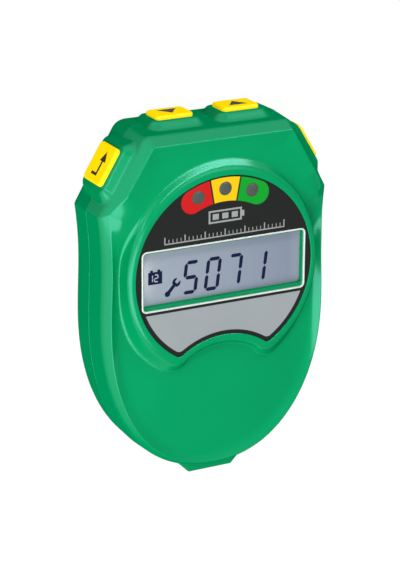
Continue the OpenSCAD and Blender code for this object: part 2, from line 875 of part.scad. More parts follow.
module capacitors() {
    color([0.2, 0.22, 0.3])
        at_dial()
            for (x = [-capacitor_x, capacitor_x])
                translate([x, capacitor_y, board_low - capacitor_h])
                    cylinder(r = capacitor_r, h = capacitor_h);
}

module terminal_block() {
    color([0.15, 0.45, 0.25])
        at_dial()
            difference() {
                translate([-lead_pitch - 1, block_y, board_low - block_h])
                    cube([2 * lead_pitch + 2, block_d, block_h]);
                for (x = [-lead_pitch / 2, lead_pitch / 2]) {
                    translate([x, block_y + 7, board_low - wire_r - 2.5])
                        rotate([90, 0, 0])
                            cylinder(r = wire_r, h = block_d);
                    translate([x, block_screw_y, board_low - block_h - 1])
                        cylinder(r = block_screw_r + seat_gap, h = block_h / 2);
                }
            }
}

module terminal_screws() {
    color(solder_metal)
        at_dial()
            for (x = [-lead_pitch / 2, lead_pitch / 2])
                translate([x, block_screw_y, board_low - block_h + 0.5])
                    difference() {
                        cylinder(r = block_screw_r, h = block_h / 3);
                        translate([-2 * block_screw_r, -slot_w / 2, -1])
                            cube([4 * block_screw_r, slot_w, slot_d + 1]);
                    }
}

// Rubber gland with two lead bores, held by a flange behind the tab.
module lead_gland() {
    color(part_black)
        at_dial()
            difference() {
                union() {
                    translate([0, gland_in, parting_z])
                        rotate([90, 0, 0])
                            rounded_block(gland_w, gland_h, gland_r - seat_gap, gland_in - gland_out);
                    translate([0, gland_in, parting_z])
                        rotate([90, 0, 0])
                            rounded_block(gland_w + 2 * gland_flange_w, gland_h + 2 * gland_flange_w, gland_r, gland_flange_t);
                }
                for (x = [-1, 1])
                    translate([x * lead_pitch / 2, gland_in + 1, parting_z])
                        rotate([90, 0, 0])
                            cylinder(r = lead_r, h = gland_in - gland_out + 2);
            }
}

// Pan-head screws, driven from the back

module screw(shank_r, shank_l, head_r, head_h) {
    difference() {
        union() {
            cylinder(r = shank_r, h = shank_l);
            translate([0, 0, -head_h])
                cylinder(r = head_r, h = head_h);
        }
        for (a = [0, 90])
            rotate([0, 0, a])
                translate([-head_r * 0.6, -slot_w / 2, -head_h - 1])
                    cube([head_r * 1.2, slot_w, slot_d + 1]);
    }
}

module board_screws() {
    color(solder_metal)
        at_dial()
            for (p = BOARD_SCREWS)
                translate([p[0], p[1], board_low])
                    screw(board_screw_r, board_t + board_bite, board_head_r, board_head_h);
}

module case_screws() {
    color(solder_metal)
        at_dial()
            for (p = CASE_SCREWS)
                translate([p[0], p[1], case_seat_z])
                    screw(case_screw_r, parting_z - case_seat_z + case_bite, case_head_r, case_head_h);
}

front_cover();
rear_cover();
face_label();
display_window();
lamp_windows();
down_key();
up_key();
escape_key();
enter_key();
down_switch();
up_switch();
escape_switch();
enter_switch();
down_plunger();
up_plunger();
escape_plunger();
enter_plunger();
lcd_glass();
lcd_holder();
lcd_backlight();
lcd_connectors();
red_led();
yellow_led();
green_led();
led_spacers();
main_board();
controller_chip();
load_transistors();
shunt_strip();
capacitors();
terminal_block();
terminal_screws();
lead_gland();
board_screws();
case_screws();
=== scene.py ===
"""Dresses a hand-held battery tester: housing, printed dial, display, lamps, keys and stage."""

import math

import bpy
import numpy as np
from mathutils import Matrix, Vector


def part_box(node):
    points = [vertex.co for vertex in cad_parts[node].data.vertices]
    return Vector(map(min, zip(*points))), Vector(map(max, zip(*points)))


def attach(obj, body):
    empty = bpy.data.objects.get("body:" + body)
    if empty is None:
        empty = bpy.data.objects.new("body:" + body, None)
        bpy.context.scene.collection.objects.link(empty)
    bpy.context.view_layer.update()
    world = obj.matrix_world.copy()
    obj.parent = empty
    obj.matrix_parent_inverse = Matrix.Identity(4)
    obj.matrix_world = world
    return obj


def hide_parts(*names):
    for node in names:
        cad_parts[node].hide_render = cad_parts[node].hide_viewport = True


bl_info = {
    "name": "Battery tester",
    "version": (1, 0, 0),
    "blender": (4, 5, 0),
    "location": "View3D > Sidebar > Tester",
    "description": "Builds the housing, dial, display, lamps and keys of a hand-held battery tester",
    "category": "Object",
}

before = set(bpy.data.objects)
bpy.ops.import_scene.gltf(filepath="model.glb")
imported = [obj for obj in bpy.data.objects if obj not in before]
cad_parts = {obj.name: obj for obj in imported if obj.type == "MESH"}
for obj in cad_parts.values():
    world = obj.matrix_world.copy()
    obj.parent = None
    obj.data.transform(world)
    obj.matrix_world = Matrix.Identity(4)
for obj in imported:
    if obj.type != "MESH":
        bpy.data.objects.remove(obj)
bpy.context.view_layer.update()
MM = 0.001

# Where the dial's centre lies in the frame: the label is round above its tips and leaves a gap in its
# pocket.
LABEL_GAP = 0.15 * MM
label_low, label_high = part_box("face_label")
POCKET_R = (label_high.x - label_low.x) / 2 + LABEL_GAP
DIAL_Y = label_high.y + LABEL_GAP - POCKET_R
LABEL_Z = label_high.z
WINDOW_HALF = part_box("display_window")[1].x


# Sizes and colours


def size(name, description, default):
    """A length in metres."""
    return bpy.props.FloatProperty(
        name=name, description=description, default=default, min=0, max=0.2, unit="LENGTH", precision=5
    )


def tint(name, description, default):
    """A linear colour with its alpha."""
    return bpy.props.FloatVectorProperty(
        name=name, description=description, default=default, size=4, min=0, max=1, subtype="COLOR"
    )


def watts(name, description, default):
    """The power of a lamp."""
    return bpy.props.FloatProperty(
        name=name, description=description, default=default, min=0, subtype="POWER"
    )


def srgb(r, g, b):
    """Linear colour of an 8-bit display colour."""
    levels = np.array([r, g, b]) / 255
    linear = np.where(levels <= 0.04045, levels / 12.92, ((levels + 0.055) / 1.055) ** 2.4)
    return (*linear.tolist(), 1.0)


WHITE = (1.0, 1.0, 1.0, 1.0)
PRINT_EDGE = 0.12


class HousingSettings(bpy.types.PropertyGroup):
    plastic: tint("Plastic", "Colour of the two moulded covers", srgb(0, 160, 98))
    sheen: tint("Sheen", "Tint of the covers' gloss", srgb(150, 250, 240))
    grain: size("Grain", "Size of the moulded texture's grains", 0.00035)
    ridge_round: size("Ridge round", "Run of the rounding along the ridge", 0.0005)
    fold_round: size("Fold round", "Run of the rounding between bevel and side wall", 0.0013)
    rim_round: size("Rim round", "Run of the rounding along the rim's edge", 0.0014)
    foot_round: size("Slope foot round", "Run of the blend at the foot of the slope", 0.0004)
    valley: size("Valley", "Depth of the dished face inside the side ridge", 0.0023)
    valley_run: size("Valley run", "Run of the curve from the side ridge down to the dish", 0.0055)
    belly_drop: size("Belly drop", "Depth of the belly under the label, at the foot of the slope", 0.003)
    platform_blend: size("Platform blend", "Radius of the hollow round the key platforms", 0.0008)
    seam: size("Seam", "Width of the chamfer on both sides of the parting line", 0.00012)


class DialSettings(bpy.types.PropertyGroup):
    film: tint("Film", "Black of the printed label", srgb(33, 36, 34))
    field: tint("Field", "Silver grey of the printed field", srgb(160, 167, 171))
    marks: tint("Marks", "Grey of the printed scale", srgb(160, 163, 163))
    red: tint("Red", "Red of the lamp sector", srgb(210, 28, 28))
    yellow: tint("Yellow", "Yellow of the lamp sector", srgb(250, 205, 10))
    green: tint("Green", "Green of the lamp sector", srgb(10, 165, 45))
    # A painted highlight: the bead's pale colour stands in for light caught along the clear window's edge.
    painted_edge_highlight: tint("Painted edge highlight", "Pale edge of the clear window", srgb(228, 238, 232))
    # The display's two colours are the ends of painted light: paler at the left end, darker at the right
    # one.
    glass: tint("Display glass", "Colour of the display at its left end", srgb(163, 173, 186))
    glass_far: tint("Display glass, far", "Colour of the display at its right end", srgb(135, 145, 165))
    ink: tint("Ink", "Blue of the display's figures", srgb(12, 22, 66))
    figures: bpy.props.StringProperty(
        name="Figures", description="The display's four figures", default="5071", maxlen=4
    )
    slant: bpy.props.FloatProperty(
        name="Slant", description="Lean of the figures", default=math.radians(7), subtype="ANGLE"
    )


class KeySettings(bpy.types.PropertyGroup):
    plastic: tint("Plastic", "Colour of the four keys", srgb(255, 220, 10))
    symbol: tint("Symbol", "Colour of the printed symbols", srgb(40, 30, 12))
    edge: size("Edge", "Radius of the keys' outer edge", 0.0008)


class StageSettings(bpy.types.PropertyGroup):
    sky: bpy.props.FloatProperty(
        name="Sky", description="Strength of the light from all sides", default=0.13, min=0
    )
    softbox: watts("Softbox", "Power of the large light over the lower left", 15.0)
    fill: watts("Fill", "Power of the soft light over the upper right", 1.8)
    side: watts("Side", "Power of the low light at the left wall", 1.0)
    strip: watts("Strip", "Power of the long light beyond the head end", 4.2)
    side_strip: watts("Side strip", "Power of the narrow light at the upper left", 0.6)


# Materials


class Wire:
    """A socket that takes part in Python expressions, where each operator adds its Math nodes."""

    def __init__(self, paint, socket):
        self.paint = paint
        self.socket = socket

    def math(self, operation, *others, clamp=False):
        """A Math node on this socket and the others."""
        values = dict(enumerate((self, *others)))
        return self.paint.add("ShaderNodeMath", {"operation": operation, "use_clamp": clamp}, values)

    def __add__(self, other):
        return self.math("ADD", other)

    def __radd__(self, other):
        return self.math("ADD", other)

    def __sub__(self, other):
        return self.math("SUBTRACT", other)

    def __rsub__(self, other):
        return (self * -1.0).math("ADD", other)

    def __mul__(self, other):
        return self.math("MULTIPLY", other)

    def __rmul__(self, other):
        return self.math("MULTIPLY", other)

    def __pow__(self, other):
        return self.math("POWER", other)

    def __abs__(self):
        return self.math("ABSOLUTE")

    def high(self, other):
        """The higher of two values."""
        return self.math("MAXIMUM", other)

    def clamped(self):
        """Kept between 0 and 1."""
        return self.math("ADD", 0.0, clamp=True)


class Paint:
    """The node tree of one finish. Distances are in millimetres from the dial's centre."""

    def __init__(self, name):
        self.material = bpy.data.materials.new(name)
        self.material.use_nodes = True
        self.tree = self.material.node_tree
        self.tree.nodes.clear()
        self.output = self.tree.nodes.new("ShaderNodeOutputMaterial")

    def add(self, kind, settings=None, values=None, out=0):
        """One node: its settings first, then the values or links of its sockets."""
        node = self.tree.nodes.new(kind)
        for name, value in (settings or {}).items():
            setattr(node, name, value)
        for key, value in (values or {}).items():
            socket = node.inputs[key]
            if isinstance(value, Wire):
                self.tree.links.new(value.socket, socket)
            else:
                socket.default_value = value
        if isinstance(out, tuple):
            return tuple(Wire(self, node.outputs[i]) for i in out)
        return Wire(self, node.outputs[out])

    def place(self):
        """Object coordinates, in metres."""
        return self.add("ShaderNodeTexCoord", out=3)

    def dial_place(self):
        """x and y from the dial's centre, in millimetres."""
        x, y = self.add("ShaderNodeSeparateXYZ", values={0: self.place()}, out=(0, 1))
        return x * 1000.0, (y - DIAL_Y) * 1000.0

    def noise(self, scale, detail=2.0, roughness=0.5, place=None):
        """Noise of that many waves in a metre, from 0 to 1."""
        values = {"Vector": place or self.place(), "Scale": scale, "Detail": detail, "Roughness": roughness}
        return self.add("ShaderNodeTexNoise", {"noise_dimensions": "3D"}, values)

    def mix(self, factor, a, b):
        """Colour a where the factor is 0 and b where it is 1."""
        return self.add("ShaderNodeMix", {"data_type": "RGBA"}, {0: factor, 6: a, 7: b}, out=2)

    def inside(self, distance):
        """1 where a signed distance in millimetres is below 0, with a soft edge."""
        return (0.5 - distance * (1.0 / PRINT_EDGE)).clamped()

    def bump(self, height, strength, distance):
        """A normal from a height of 0 to 1 that stands for a distance in metres."""
        values = {"Strength": strength, "Distance": distance, "Height": height}
        return self.add("ShaderNodeBump", values=values)

    def principled(self, **sockets):
        """A Principled shader whose sockets are named with _ for a space."""
        values = {name.replace("_", " "): value for name, value in sockets.items()}
        return self.add("ShaderNodeBsdfPrincipled", values=values)

    def end(self, shader):
        """Ends the tree in a shader."""
        self.tree.links.new(shader.socket, self.output.inputs["Surface"])
        return self.material

    def finish(self, **sockets):
        """Ends the tree in one Principled shader."""
        return self.end(self.principled(**sockets))


def darker(color, factor):
    """A colour whose light is scaled by a factor."""
    return (*(c * factor for c in color[:3]), 1.0)


def moulded_plastic(
    name, color, roughness=0.22, grain=0.35, depth=0.02, spread=0.04, sheen=WHITE, level=0.85, painted_glow=0.0
):
    """Satin plastic from an etched mould: fine grains, and broad patches of slightly other gloss. The
    gloss fades where the wall is seen at a flat angle, so that the pigment stays deep."""
    paint = Paint(name)
    grains = paint.noise(1000.0 / grain, detail=3.0, roughness=0.6)
    patches = paint.noise(42.0)
    shade = paint.mix(patches, darker(color, 1 - spread), darker(color, 1 + spread))
    gloss = roughness + (patches - 0.5) * 0.08 + (grains - 0.5) * 0.1
    relief = paint.bump(grains, 0.5, depth * MM)
    # A glow above 0 gives off light in the plastic's own shade: painted light that brightens the part
    # beyond its lighting.
    pigment = {"Base_Color": shade, "Emission_Color": shade, "Emission_Strength": painted_glow, "Normal": relief}
    satin = paint.principled(Roughness=gloss, Specular_IOR_Level=level, Specular_Tint=sheen, **pigment)
    matt = paint.principled(Roughness=0.6, Specular_IOR_Level=0.0, **pigment)
    facing = paint.add("ShaderNodeLayerWeight", values={"Blend": 0.5}, out=1)
    fade_from, fade_over = 0.22, 0.3
    flat = ((facing - fade_from) * (1 / fade_over)).clamped()
    return paint.end(paint.add("ShaderNodeMixShader", values={0: flat, 1: satin, 2: matt}))


def lamp_sectors(paint, x, y, dial):
    """Where the three lamp sectors are, and their hues. They fill a band round the radius middle with
    round ends at the angle last, and two lines at the angle edge part them."""
    middle, half, last = 34.25, 4.95, math.radians(25.6)
    edge, half_line = math.radians(10.1), 0.34
    r = (x * x + y * y).math("SQRT")
    angle = x.math("ARCTAN2", y)
    ring = abs(r - middle) - half
    end_x, end_y = middle * math.sin(last), middle * math.cos(last)
    end = ((abs(x) - end_x) ** 2.0 + (y - end_y) ** 2.0).math("SQRT") - half
    band = ring + (end - ring) * (abs(angle) - last).math("GREATER_THAN", 0.0)
    line = half_line - abs(abs(angle) - edge) * r
    in_middle = (edge - abs(angle)).math("GREATER_THAN", 0.0)
    at_right = angle.math("GREATER_THAN", 0.0)
    hues = paint.mix(in_middle, paint.mix(at_right, dial.red, dial.green), dial.yellow)
    return paint.inside(band.high(line)), hues


def silver_field(paint, x, y):
    """Where the silver field is: under a level line, over the arch and inside the label's edge, with
    blunt tips."""
    arch_r, arch_y, field_r, field_top, blunt = 34.3, -60.1, 38.1, -14.15, 1.6
    arch = arch_r - (x * x + (y - arch_y) ** 2.0).math("SQRT")
    outer = (x * x + y * y).math("SQRT") - field_r
    tips = (arch + blunt).high(0.0) ** 2.0 + (outer + blunt).high(0.0) ** 2.0
    return paint.inside((tips.math("SQRT") - blunt).high(y - field_top))


def printed_film(name, dial):
    """The label's print: black film with three lamp sectors and a silver field, in a fine weave."""
    paint = Paint(name)
    x, y = paint.dial_place()
    sectors, hues = lamp_sectors(paint, x, y, dial)
    silver = silver_field(paint, x, y)
    weave = paint.noise(2600.0)
    field_shade = paint.mix(paint.noise(30.0), darker(dial.field, 0.92), darker(dial.field, 1.08))
    shade = paint.mix(silver, paint.mix(sectors, tuple(dial.film), hues), field_shade)
    gloss = 0.33 + (weave - 0.5) * 0.12 + silver * 0.08
    relief = paint.bump(weave, 0.25, 0.01 * MM)
    return paint.finish(Base_Color=shade, Roughness=gloss, Specular_IOR_Level=0.45, Normal=relief)


def lit_glass(name, near, far):
    """The lit display: painted light runs its shade from near at the left end to far at the right one, with
    a pale painted flare at the left, highest at its middle, and a faint one at the right."""
    paint = Paint(name)
    x, y = paint.dial_place()
    left, middle = 36.0, 1.0
    flare = (1.0 - ((x + left) * (1 / 9.0)).clamped()) ** 2.2
    waist = 1.0 - (abs(y - middle) * (1 / 9.5)).clamped() ** 2.0
    right = ((x - 31.0) * (1 / 6.0)).clamped()
    painted_glow = flare * (waist * 0.75 + 0.12) + right * 0.14
    base = paint.mix(((x + left) * (1 / (2 * left))).clamped(), near, far)
    shade = paint.mix(painted_glow.clamped(), base, srgb(240, 244, 248))
    cells = paint.noise(900.0, detail=1.0)
    # The display glows at 0.2 of its shade: partly its backlight, partly painted light that keeps it bright
    # in its recess.
    return paint.finish(
        Base_Color=shade,
        Emission_Color=shade,
        Emission_Strength=0.2,
        Roughness=0.3 + cells * 0.08,
        Specular_IOR_Level=0.3,
    )


def clear_sheet(name, color, alpha):
    """Clear or tinted plastic with faint smears in its gloss. What the alpha leaves of the light
    passes."""
    paint = Paint(name)
    smears = paint.noise(60.0, detail=3.0)
    gloss = 0.06 + smears * 0.05
    return paint.finish(Base_Color=color, Alpha=alpha, Roughness=gloss, Specular_IOR_Level=0.5)


def smoked_lens(name, color):
    """A smoked lens: cloudy in its shade, with a clear coat."""
    paint = Paint(name)
    smears = paint.noise(400.0)
    shade = paint.mix(smears, darker(color, 0.85), darker(color, 1.15))
    return paint.finish(
        Base_Color=shade,
        Roughness=0.22 + smears * 0.06,
        Specular_IOR_Level=0.5,
        Coat_Weight=0.4,
        Coat_Roughness=0.08,
    )


def plain_metal(name, color, roughness=0.3):
    """Plated steel, alloy strip or a can: fine scratches and dull patches."""
    paint = Paint(name)
    stretch = paint.add("ShaderNodeMapping", values={0: paint.place(), 3: (900.0, 900.0, 120.0)})
    scratches = paint.noise(1.0, detail=4.0, place=stretch)
    patches = paint.noise(160.0)
    shade = paint.mix(patches, darker(color, 0.85), color)
    return paint.finish(
        Base_Color=shade,
        Metallic=1.0,
        Roughness=roughness + (scratches - 0.5) * 0.2,
        Normal=paint.bump(scratches, 0.3, 0.01 * MM),
    )


def lacquered_board(name, color):
    """A lacquered board: broken copper tracks in two directions show paler through the lacquer."""
    paint = Paint(name)
    x, y = paint.dial_place()
    tracks = (x * 0.9).math("SINE").high((y * 0.9).math("SINE")).math("GREATER_THAN", 0.93)
    copper = tracks * paint.noise(220.0).math("GREATER_THAN", 0.5)
    shade = paint.mix(copper, color, darker(color, 1.9))
    relief = paint.bump(copper, 0.5, 0.03 * MM)
    return paint.finish(Base_Color=shade, Roughness=0.32, Specular_IOR_Level=0.5, Normal=relief)


def matt_rubber(name, color):
    """Moulded rubber: a soft, fine pitted skin."""
    paint = Paint(name)
    pits = paint.noise(2200.0, detail=3.0)
    dust = paint.noise(90.0, detail=3.0)
    shade = paint.mix(dust, color, darker(color, 1.6))
    gloss = 0.72 + (dust - 0.5) * 0.15
    relief = paint.bump(pits, 0.5, 0.03 * MM)
    return paint.finish(Base_Color=shade, Roughness=gloss, Specular_IOR_Level=0.35, Normal=relief)


def print_ink(name, color, roughness=0.5, level=0.4):
    """Screen-printed ink, a little uneven in its cover."""
    paint = Paint(name)
    cover = paint.noise(1500.0)
    shade = paint.mix(cover, darker(color, 0.88), darker(color, 1.12))
    gloss = roughness + (cover - 0.5) * 0.15
    return paint.finish(Base_Color=shade, Roughness=gloss, Specular_IOR_Level=level)


# Meshes


def piece_from(name, points, faces, material, body, smooth=None):
    """A mesh object from arrays of points and faces, riding on a body. smooth is the angle under which
    its edges are smooth."""
    mesh = bpy.data.meshes.new(name)
    mesh.from_pydata(points.tolist(), [], faces.tolist() if isinstance(faces, np.ndarray) else faces)
    mesh.update()
    made = bpy.data.objects.new(name, mesh)
    bpy.context.scene.collection.objects.link(made)
    mesh.materials.append(material)
    if smooth is not None:
        mesh.shade_smooth()
        mesh.set_sharp_from_angle(angle=smooth)
    if body:
        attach(made, body)
    return made


def grid_faces(rows, columns):
    """Quads of a grid whose rows follow each other and whose columns close into rings."""
    i, j = np.meshgrid(np.arange(rows - 1), np.arange(columns), indexing="ij")
    a = i * columns + j
    b = i * columns + (j + 1) % columns
    return np.stack([a, b, b + columns, a + columns], axis=-1).reshape(-1, 4)


def skin(rows, first_cap=True, last_cap=True):
    """Points and faces through closed rings of equal count. Each cap is a fan round the ring's mean or a
    given point."""
    rings = np.stack(rows)
    m, n, _ = rings.shape
    points = [rings.reshape(-1, 3)]
    faces = grid_faces(m, n).tolist()
    extra = m * n
    k = np.arange(n)
    for cap, start, order in ((first_cap, 0, (1, 0)), (last_cap, (m - 1) * n, (0, 1))):
        if cap is False:
            continue
        ring = rings[0] if start == 0 else rings[-1]
        points.append((ring.mean(axis=0) if cap is True else np.array(cap))[None])
        pair = (start + k, start + (k + 1) % n)
        faces += np.stack([pair[order[0]], pair[order[1]], np.full(n, extra)], axis=-1).tolist()
        extra += 1
    return np.concatenate(points), faces


def joined(*shells):
    """Several (points, faces) shells as one."""
    points, faces, base = [], [], 0
    for p, f in shells:
        points.append(p)
        faces += [[v + base for v in face] for face in f]
        base += len(p)
    return np.concatenate(points), faces


def turn(angle):
    """Unit vectors at angles from +x."""
    return np.stack([np.cos(angle), np.sin(angle)], axis=-1)


def mixed(a, b, t):
    """The value at a share t of the way from a to b."""
    return a + (b - a) * t


def eased(t):
    """3t2 - 2t3 between 0 and 1, and level outside."""
    t = np.clip(t, 0, 1)
    return t * t * (3 - 2 * t)


def soft_high(a, b, k):
    """The higher of two values, blended over k where they meet."""
    h = np.maximum(k - np.abs(a - b), 0) / k
    return np.maximum(a, b) + h * h * k / 4


def soft_low(a, b, k):
    """The lower of two values, blended over k where they meet."""
    return -soft_high(-a, -b, k)


def rounded_ring(w, d, r, z):
    """A rounded rectangle of points at height z, clockwise: a quarter circle at each corner."""
    r, steps = max(r, 1e-6), 8
    a = np.radians(np.concatenate([c - 90 * np.arange(steps + 1) / steps for c in (90, 0, -90, 180)]))
    sx = np.repeat([1, 1, -1, -1], steps + 1)
    sy = np.repeat([1, -1, -1, 1], steps + 1)
    x = sx * (w / 2 - r) + r * np.cos(a)
    y = sy * (d / 2 - r) + r * np.sin(a)
    return np.stack([x, y, np.full_like(x, z)], axis=-1)


def carved(made, cutters):
    """Cuts closed cutters out of a piece and removes them."""
    points, faces = joined(*cutters)
    mesh = bpy.data.meshes.new("cutter")
    mesh.from_pydata(points.tolist(), [], faces)
    tool = bpy.data.objects.new("cutter", mesh)
    bpy.context.scene.collection.objects.link(tool)
    cut = made.modifiers.new("Openings", "BOOLEAN")
    cut.operation = "DIFFERENCE"
    cut.solver = "EXACT"
    cut.object = tool
    depsgraph = bpy.context.evaluated_depsgraph_get()
    result = bpy.data.meshes.new_from_object(made.evaluated_get(depsgraph), depsgraph=depsgraph)
    made.modifiers.clear()
    made.data = result
    bpy.data.objects.remove(tool)


# The housing's form, in millimetres from the dial's centre and from the back

# Points on each part of the half outline
TOP_STEPS, CORNER_STEPS, SLANT_STEPS, SHOULDER_STEPS = 64, 10, 92, 10
SIDE_STEPS, FLANK_STEPS, TIP_STEPS, ARCH_STEPS = 34, 44, 20, 44

# The dial's pocket, with a rim round it
DIAL_R = POCKET_R / MM
RIM_W, RIM_H = 2.9, 0.4
LABEL_TOP, LABEL_T = LABEL_Z / MM, 0.6
RIM_Z = LABEL_TOP + RIM_H
POCKET_Z = LABEL_TOP - LABEL_T
CEILING_Z = POCKET_Z - 2
ARCH_R = 32.6
ARCH_Y = -(27.5 + ARCH_R)
TIP_R = 2.5
TIP_Y = (ARCH_Y**2 + (DIAL_R - TIP_R) ** 2 - (ARCH_R + TIP_R) ** 2) / (2 * ARCH_Y)
TIP_X = math.sqrt((DIAL_R - TIP_R) ** 2 - TIP_Y**2)

# The outline's edge: flat top, slant, shoulder, waist and belly
TOP_Y = DIAL_R + RIM_W + 15.4
TOP_HALF = 32.2
CORNER_R, SHOULDER_R = 4.5, 2.2
WAIST, WAIST_Y = DIAL_R + RIM_W + 7.1, 5.0
SHOULDER_OUT = 1.5
SHOULDER = np.array([WAIST + SHOULDER_OUT, 26.4])
BELLY, BELLY_Y, BELLY_POWER = WAIST + 0.6, 19.5, 2.2
FOOT_Y = -(DIAL_R + RIM_W + 45.4)
SLANT = math.atan2(SHOULDER[0] - TOP_HALF, TOP_Y - SHOULDER[1])
SHOULDER_LEAN = math.atan2(-2 * SHOULDER_OUT, SHOULDER[1] - WAIST_Y)

# The ridge inside that edge. It is drawn in by a kink at that share of the slant, rises at the top, drops
# at the shoulder and comes back over the fade below it, and drops again at the foot.
BEVEL_W, SIDE_BEVEL_W, BEVEL_H = 3.4, 2.3, 4.5
TOP_RIDGE_Z, SIDE_RIDGE_Z = LABEL_TOP - 1.9, LABEL_TOP - 4.6
RIDGE_TOP_HALF, RIDGE_SHOULDER = TOP_HALF + 0.8, (WAIST + 0.9, 29.1)
KINK, KINK_AT, KINK_BLEND, KINK_SHARE = 1.0, 0.69, 0.12, 0.15
TOP_RISE, SHOULDER_DROP, SHOULDER_FADE, FOOT_DROP = 0.9, 1.1, 24.0, 0.9

# The dished face: runs of the slope round the dial, and the valley between slope and ridge
WAIST_RUN, TOP_RUN, TIP_RUN, ARCH_RUN = 0.8, 3.5, 5.0, 2.0
HEAD_VALLEY_RUN, HEAD_VALLEY_DROP = 9.0, 0.6
DISH_FROM, DISH_FADE, DISH_POWER, BELLY_DIP = 35.0, 27.0, 1.6, 0.8
DISH_ROWS = (0.25, 0.38, 0.5, 0.6, 0.68, 0.75, 0.81, 0.86, 0.9, 0.94)

# The walls, the parting line and its lip
PARTING_Z = 15.0
FLARE, HEAD_FLARE, WALL = 0.6, 0.9, 2.2
LIP_W, LIP_H, LIP_GAP = 0.95, 1.5, 0.15
BACK_R, BACK_CORNER_R, FLOOR = 4.5, CORNER_R + 1.5, WALL + 0.2

# The foot tab, and the slot for the gland behind it
TAB_HALF, TAB_OUT, TAB_SLANT, TAB_HALF_T = 14.5, 3.3, 4.5, 8.7
TAB_Y = FOOT_Y - TAB_OUT
TAB_SINK = 1.4
GLAND_W, GLAND_D, GLAND_R = 17.2, 8.8, 3.0


def rounded_corner(p, a, b, g, r, steps):
    """An arc that rounds the corner at p between walls that face a and b, pushed out by g: its centre
    lies on the line that halves the corner, and its radius never falls under 0.6."""
    r = max(r + g, 0.6)
    miter = turn((a + b) / 2) / math.cos((a - b) / 2)
    centre = np.asarray(p) + (g - r) * miter
    return centre + r * turn(mixed(a, b, np.arange(steps + 1) / steps))


def side_half(y, shoulder):
    """Half width of the waist: a parabola up to the shoulder and an eased curve down to the belly."""
    up = WAIST + (shoulder[0] - WAIST) * ((y - WAIST_Y) / (shoulder[1] - WAIST_Y)) ** 2
    down = WAIST + (BELLY - WAIST) * eased((WAIST_Y - y) / (WAIST_Y + BELLY_Y))
    return np.where(y > WAIST_Y, up, down)


BELLY_ANGLES = np.radians(
    np.concatenate([
        38 * np.arange(1, FLANK_STEPS + 1) / FLANK_STEPS,
        mixed(38, 52, np.arange(1, TIP_STEPS + 1) / TIP_STEPS),
        mixed(52, 90, np.arange(1, ARCH_STEPS + 1) / ARCH_STEPS),
    ])
)


def half_outline(g, gs, r, kink=0.0, top_half=TOP_HALF, corner=SHOULDER):
    """Half of the housing's outline: a flat top, a slant, a shoulder, a waist and a superellipse, pushed
    out by g above the shoulder and by gs below it. A kink draws the slant in by that much."""
    upper = rounded_corner((top_half, TOP_Y), math.pi / 2, SLANT, g, r, CORNER_STEPS)
    shoulder = rounded_corner(corner, SLANT, SHOULDER_LEAN, gs, SHOULDER_R, SHOULDER_STEPS)
    top = np.stack([upper[0, 0] * np.arange(TOP_STEPS) / TOP_STEPS, np.full(TOP_STEPS, TOP_Y + g)], axis=-1)
    t = (np.arange(1, SLANT_STEPS) / SLANT_STEPS)[:, None]
    tent = soft_low(t / KINK_AT, (1 - t) / (1 - KINK_AT), KINK_BLEND)
    slant = mixed(upper[-1], shoulder[0], t) - kink * turn(SLANT) * tent
    y = mixed(shoulder[-1, 1], -BELLY_Y, np.arange(1, SIDE_STEPS + 1) / SIDE_STEPS)
    side = np.stack([side_half(y, corner) + gs, y], axis=-1)
    c, s = np.maximum(np.cos(BELLY_ANGLES), 0), np.sin(BELLY_ANGLES)
    x = (BELLY + gs) * c ** (2 / BELLY_POWER)
    y = -BELLY_Y - (-BELLY_Y - FOOT_Y + gs) * s ** (2 / BELLY_POWER)
    return np.concatenate([top, upper, slant, shoulder, side, np.stack([x, y], axis=-1)])


def station_values(top, side, foot):
    """One value per station: the top's, then along the slant to the side's, then over the belly to the
    foot's. Only a small share of the way along the slant lies before its kink."""
    t = np.arange(1, SLANT_STEPS) / SLANT_STEPS
    past = KINK_SHARE + (1 - KINK_SHARE) * (t - KINK_AT) / (1 - KINK_AT)
    along = np.where(t < KINK_AT, KINK_SHARE * t / KINK_AT, past)
    return np.concatenate([
        np.full(TOP_STEPS + CORNER_STEPS + 1, top),
        mixed(top, side, along),
        np.full(SHOULDER_STEPS + 1 + SIDE_STEPS, side),
        mixed(side, foot, eased(np.degrees(BELLY_ANGLES) / 60)),
    ])


RIDGE_HALF = half_outline(-BEVEL_W, -SIDE_BEVEL_W, CORNER_R, KINK, RIDGE_TOP_HALF, RIDGE_SHOULDER)
STATIONS = len(RIDGE_HALF)
DIAL_STATIONS = STATIONS - TIP_STEPS - ARCH_STEPS
POLAR = np.arctan2(RIDGE_HALF[:DIAL_STATIONS, 1], RIDGE_HALF[:DIAL_STATIONS, 0])
TIP_ANGLE = math.atan2(TIP_Y, TIP_X)
ARCH_ANGLE = math.atan2(TIP_Y - ARCH_Y, TIP_X)
DIAL_ANGLES = mixed(math.pi / 2, TIP_ANGLE, (math.pi / 2 - POLAR) / (math.pi / 2 - POLAR[-1]))


def half_dial(k):
    """Half of the dial's outline pushed out by k: a circle, a rounded tip and the arch under it."""
    k = np.broadcast_to(np.asarray(k, float), (STATIONS,))[:, None]
    circle = (DIAL_R + k[:DIAL_STATIONS]) * turn(DIAL_ANGLES)
    t = np.arange(1, TIP_STEPS + 1) / TIP_STEPS
    ring = slice(DIAL_STATIONS, DIAL_STATIONS + TIP_STEPS)
    tip = np.array([TIP_X, TIP_Y]) + (TIP_R + k[ring]) * turn(mixed(TIP_ANGLE, ARCH_ANGLE - math.pi, t))
    t = np.arange(1, ARCH_STEPS + 1) / ARCH_STEPS
    arch = np.array([0, ARCH_Y]) + (ARCH_R - k[-ARCH_STEPS:]) * turn(mixed(ARCH_ANGLE, math.pi / 2, t))
    return np.concatenate([circle, tip, arch])


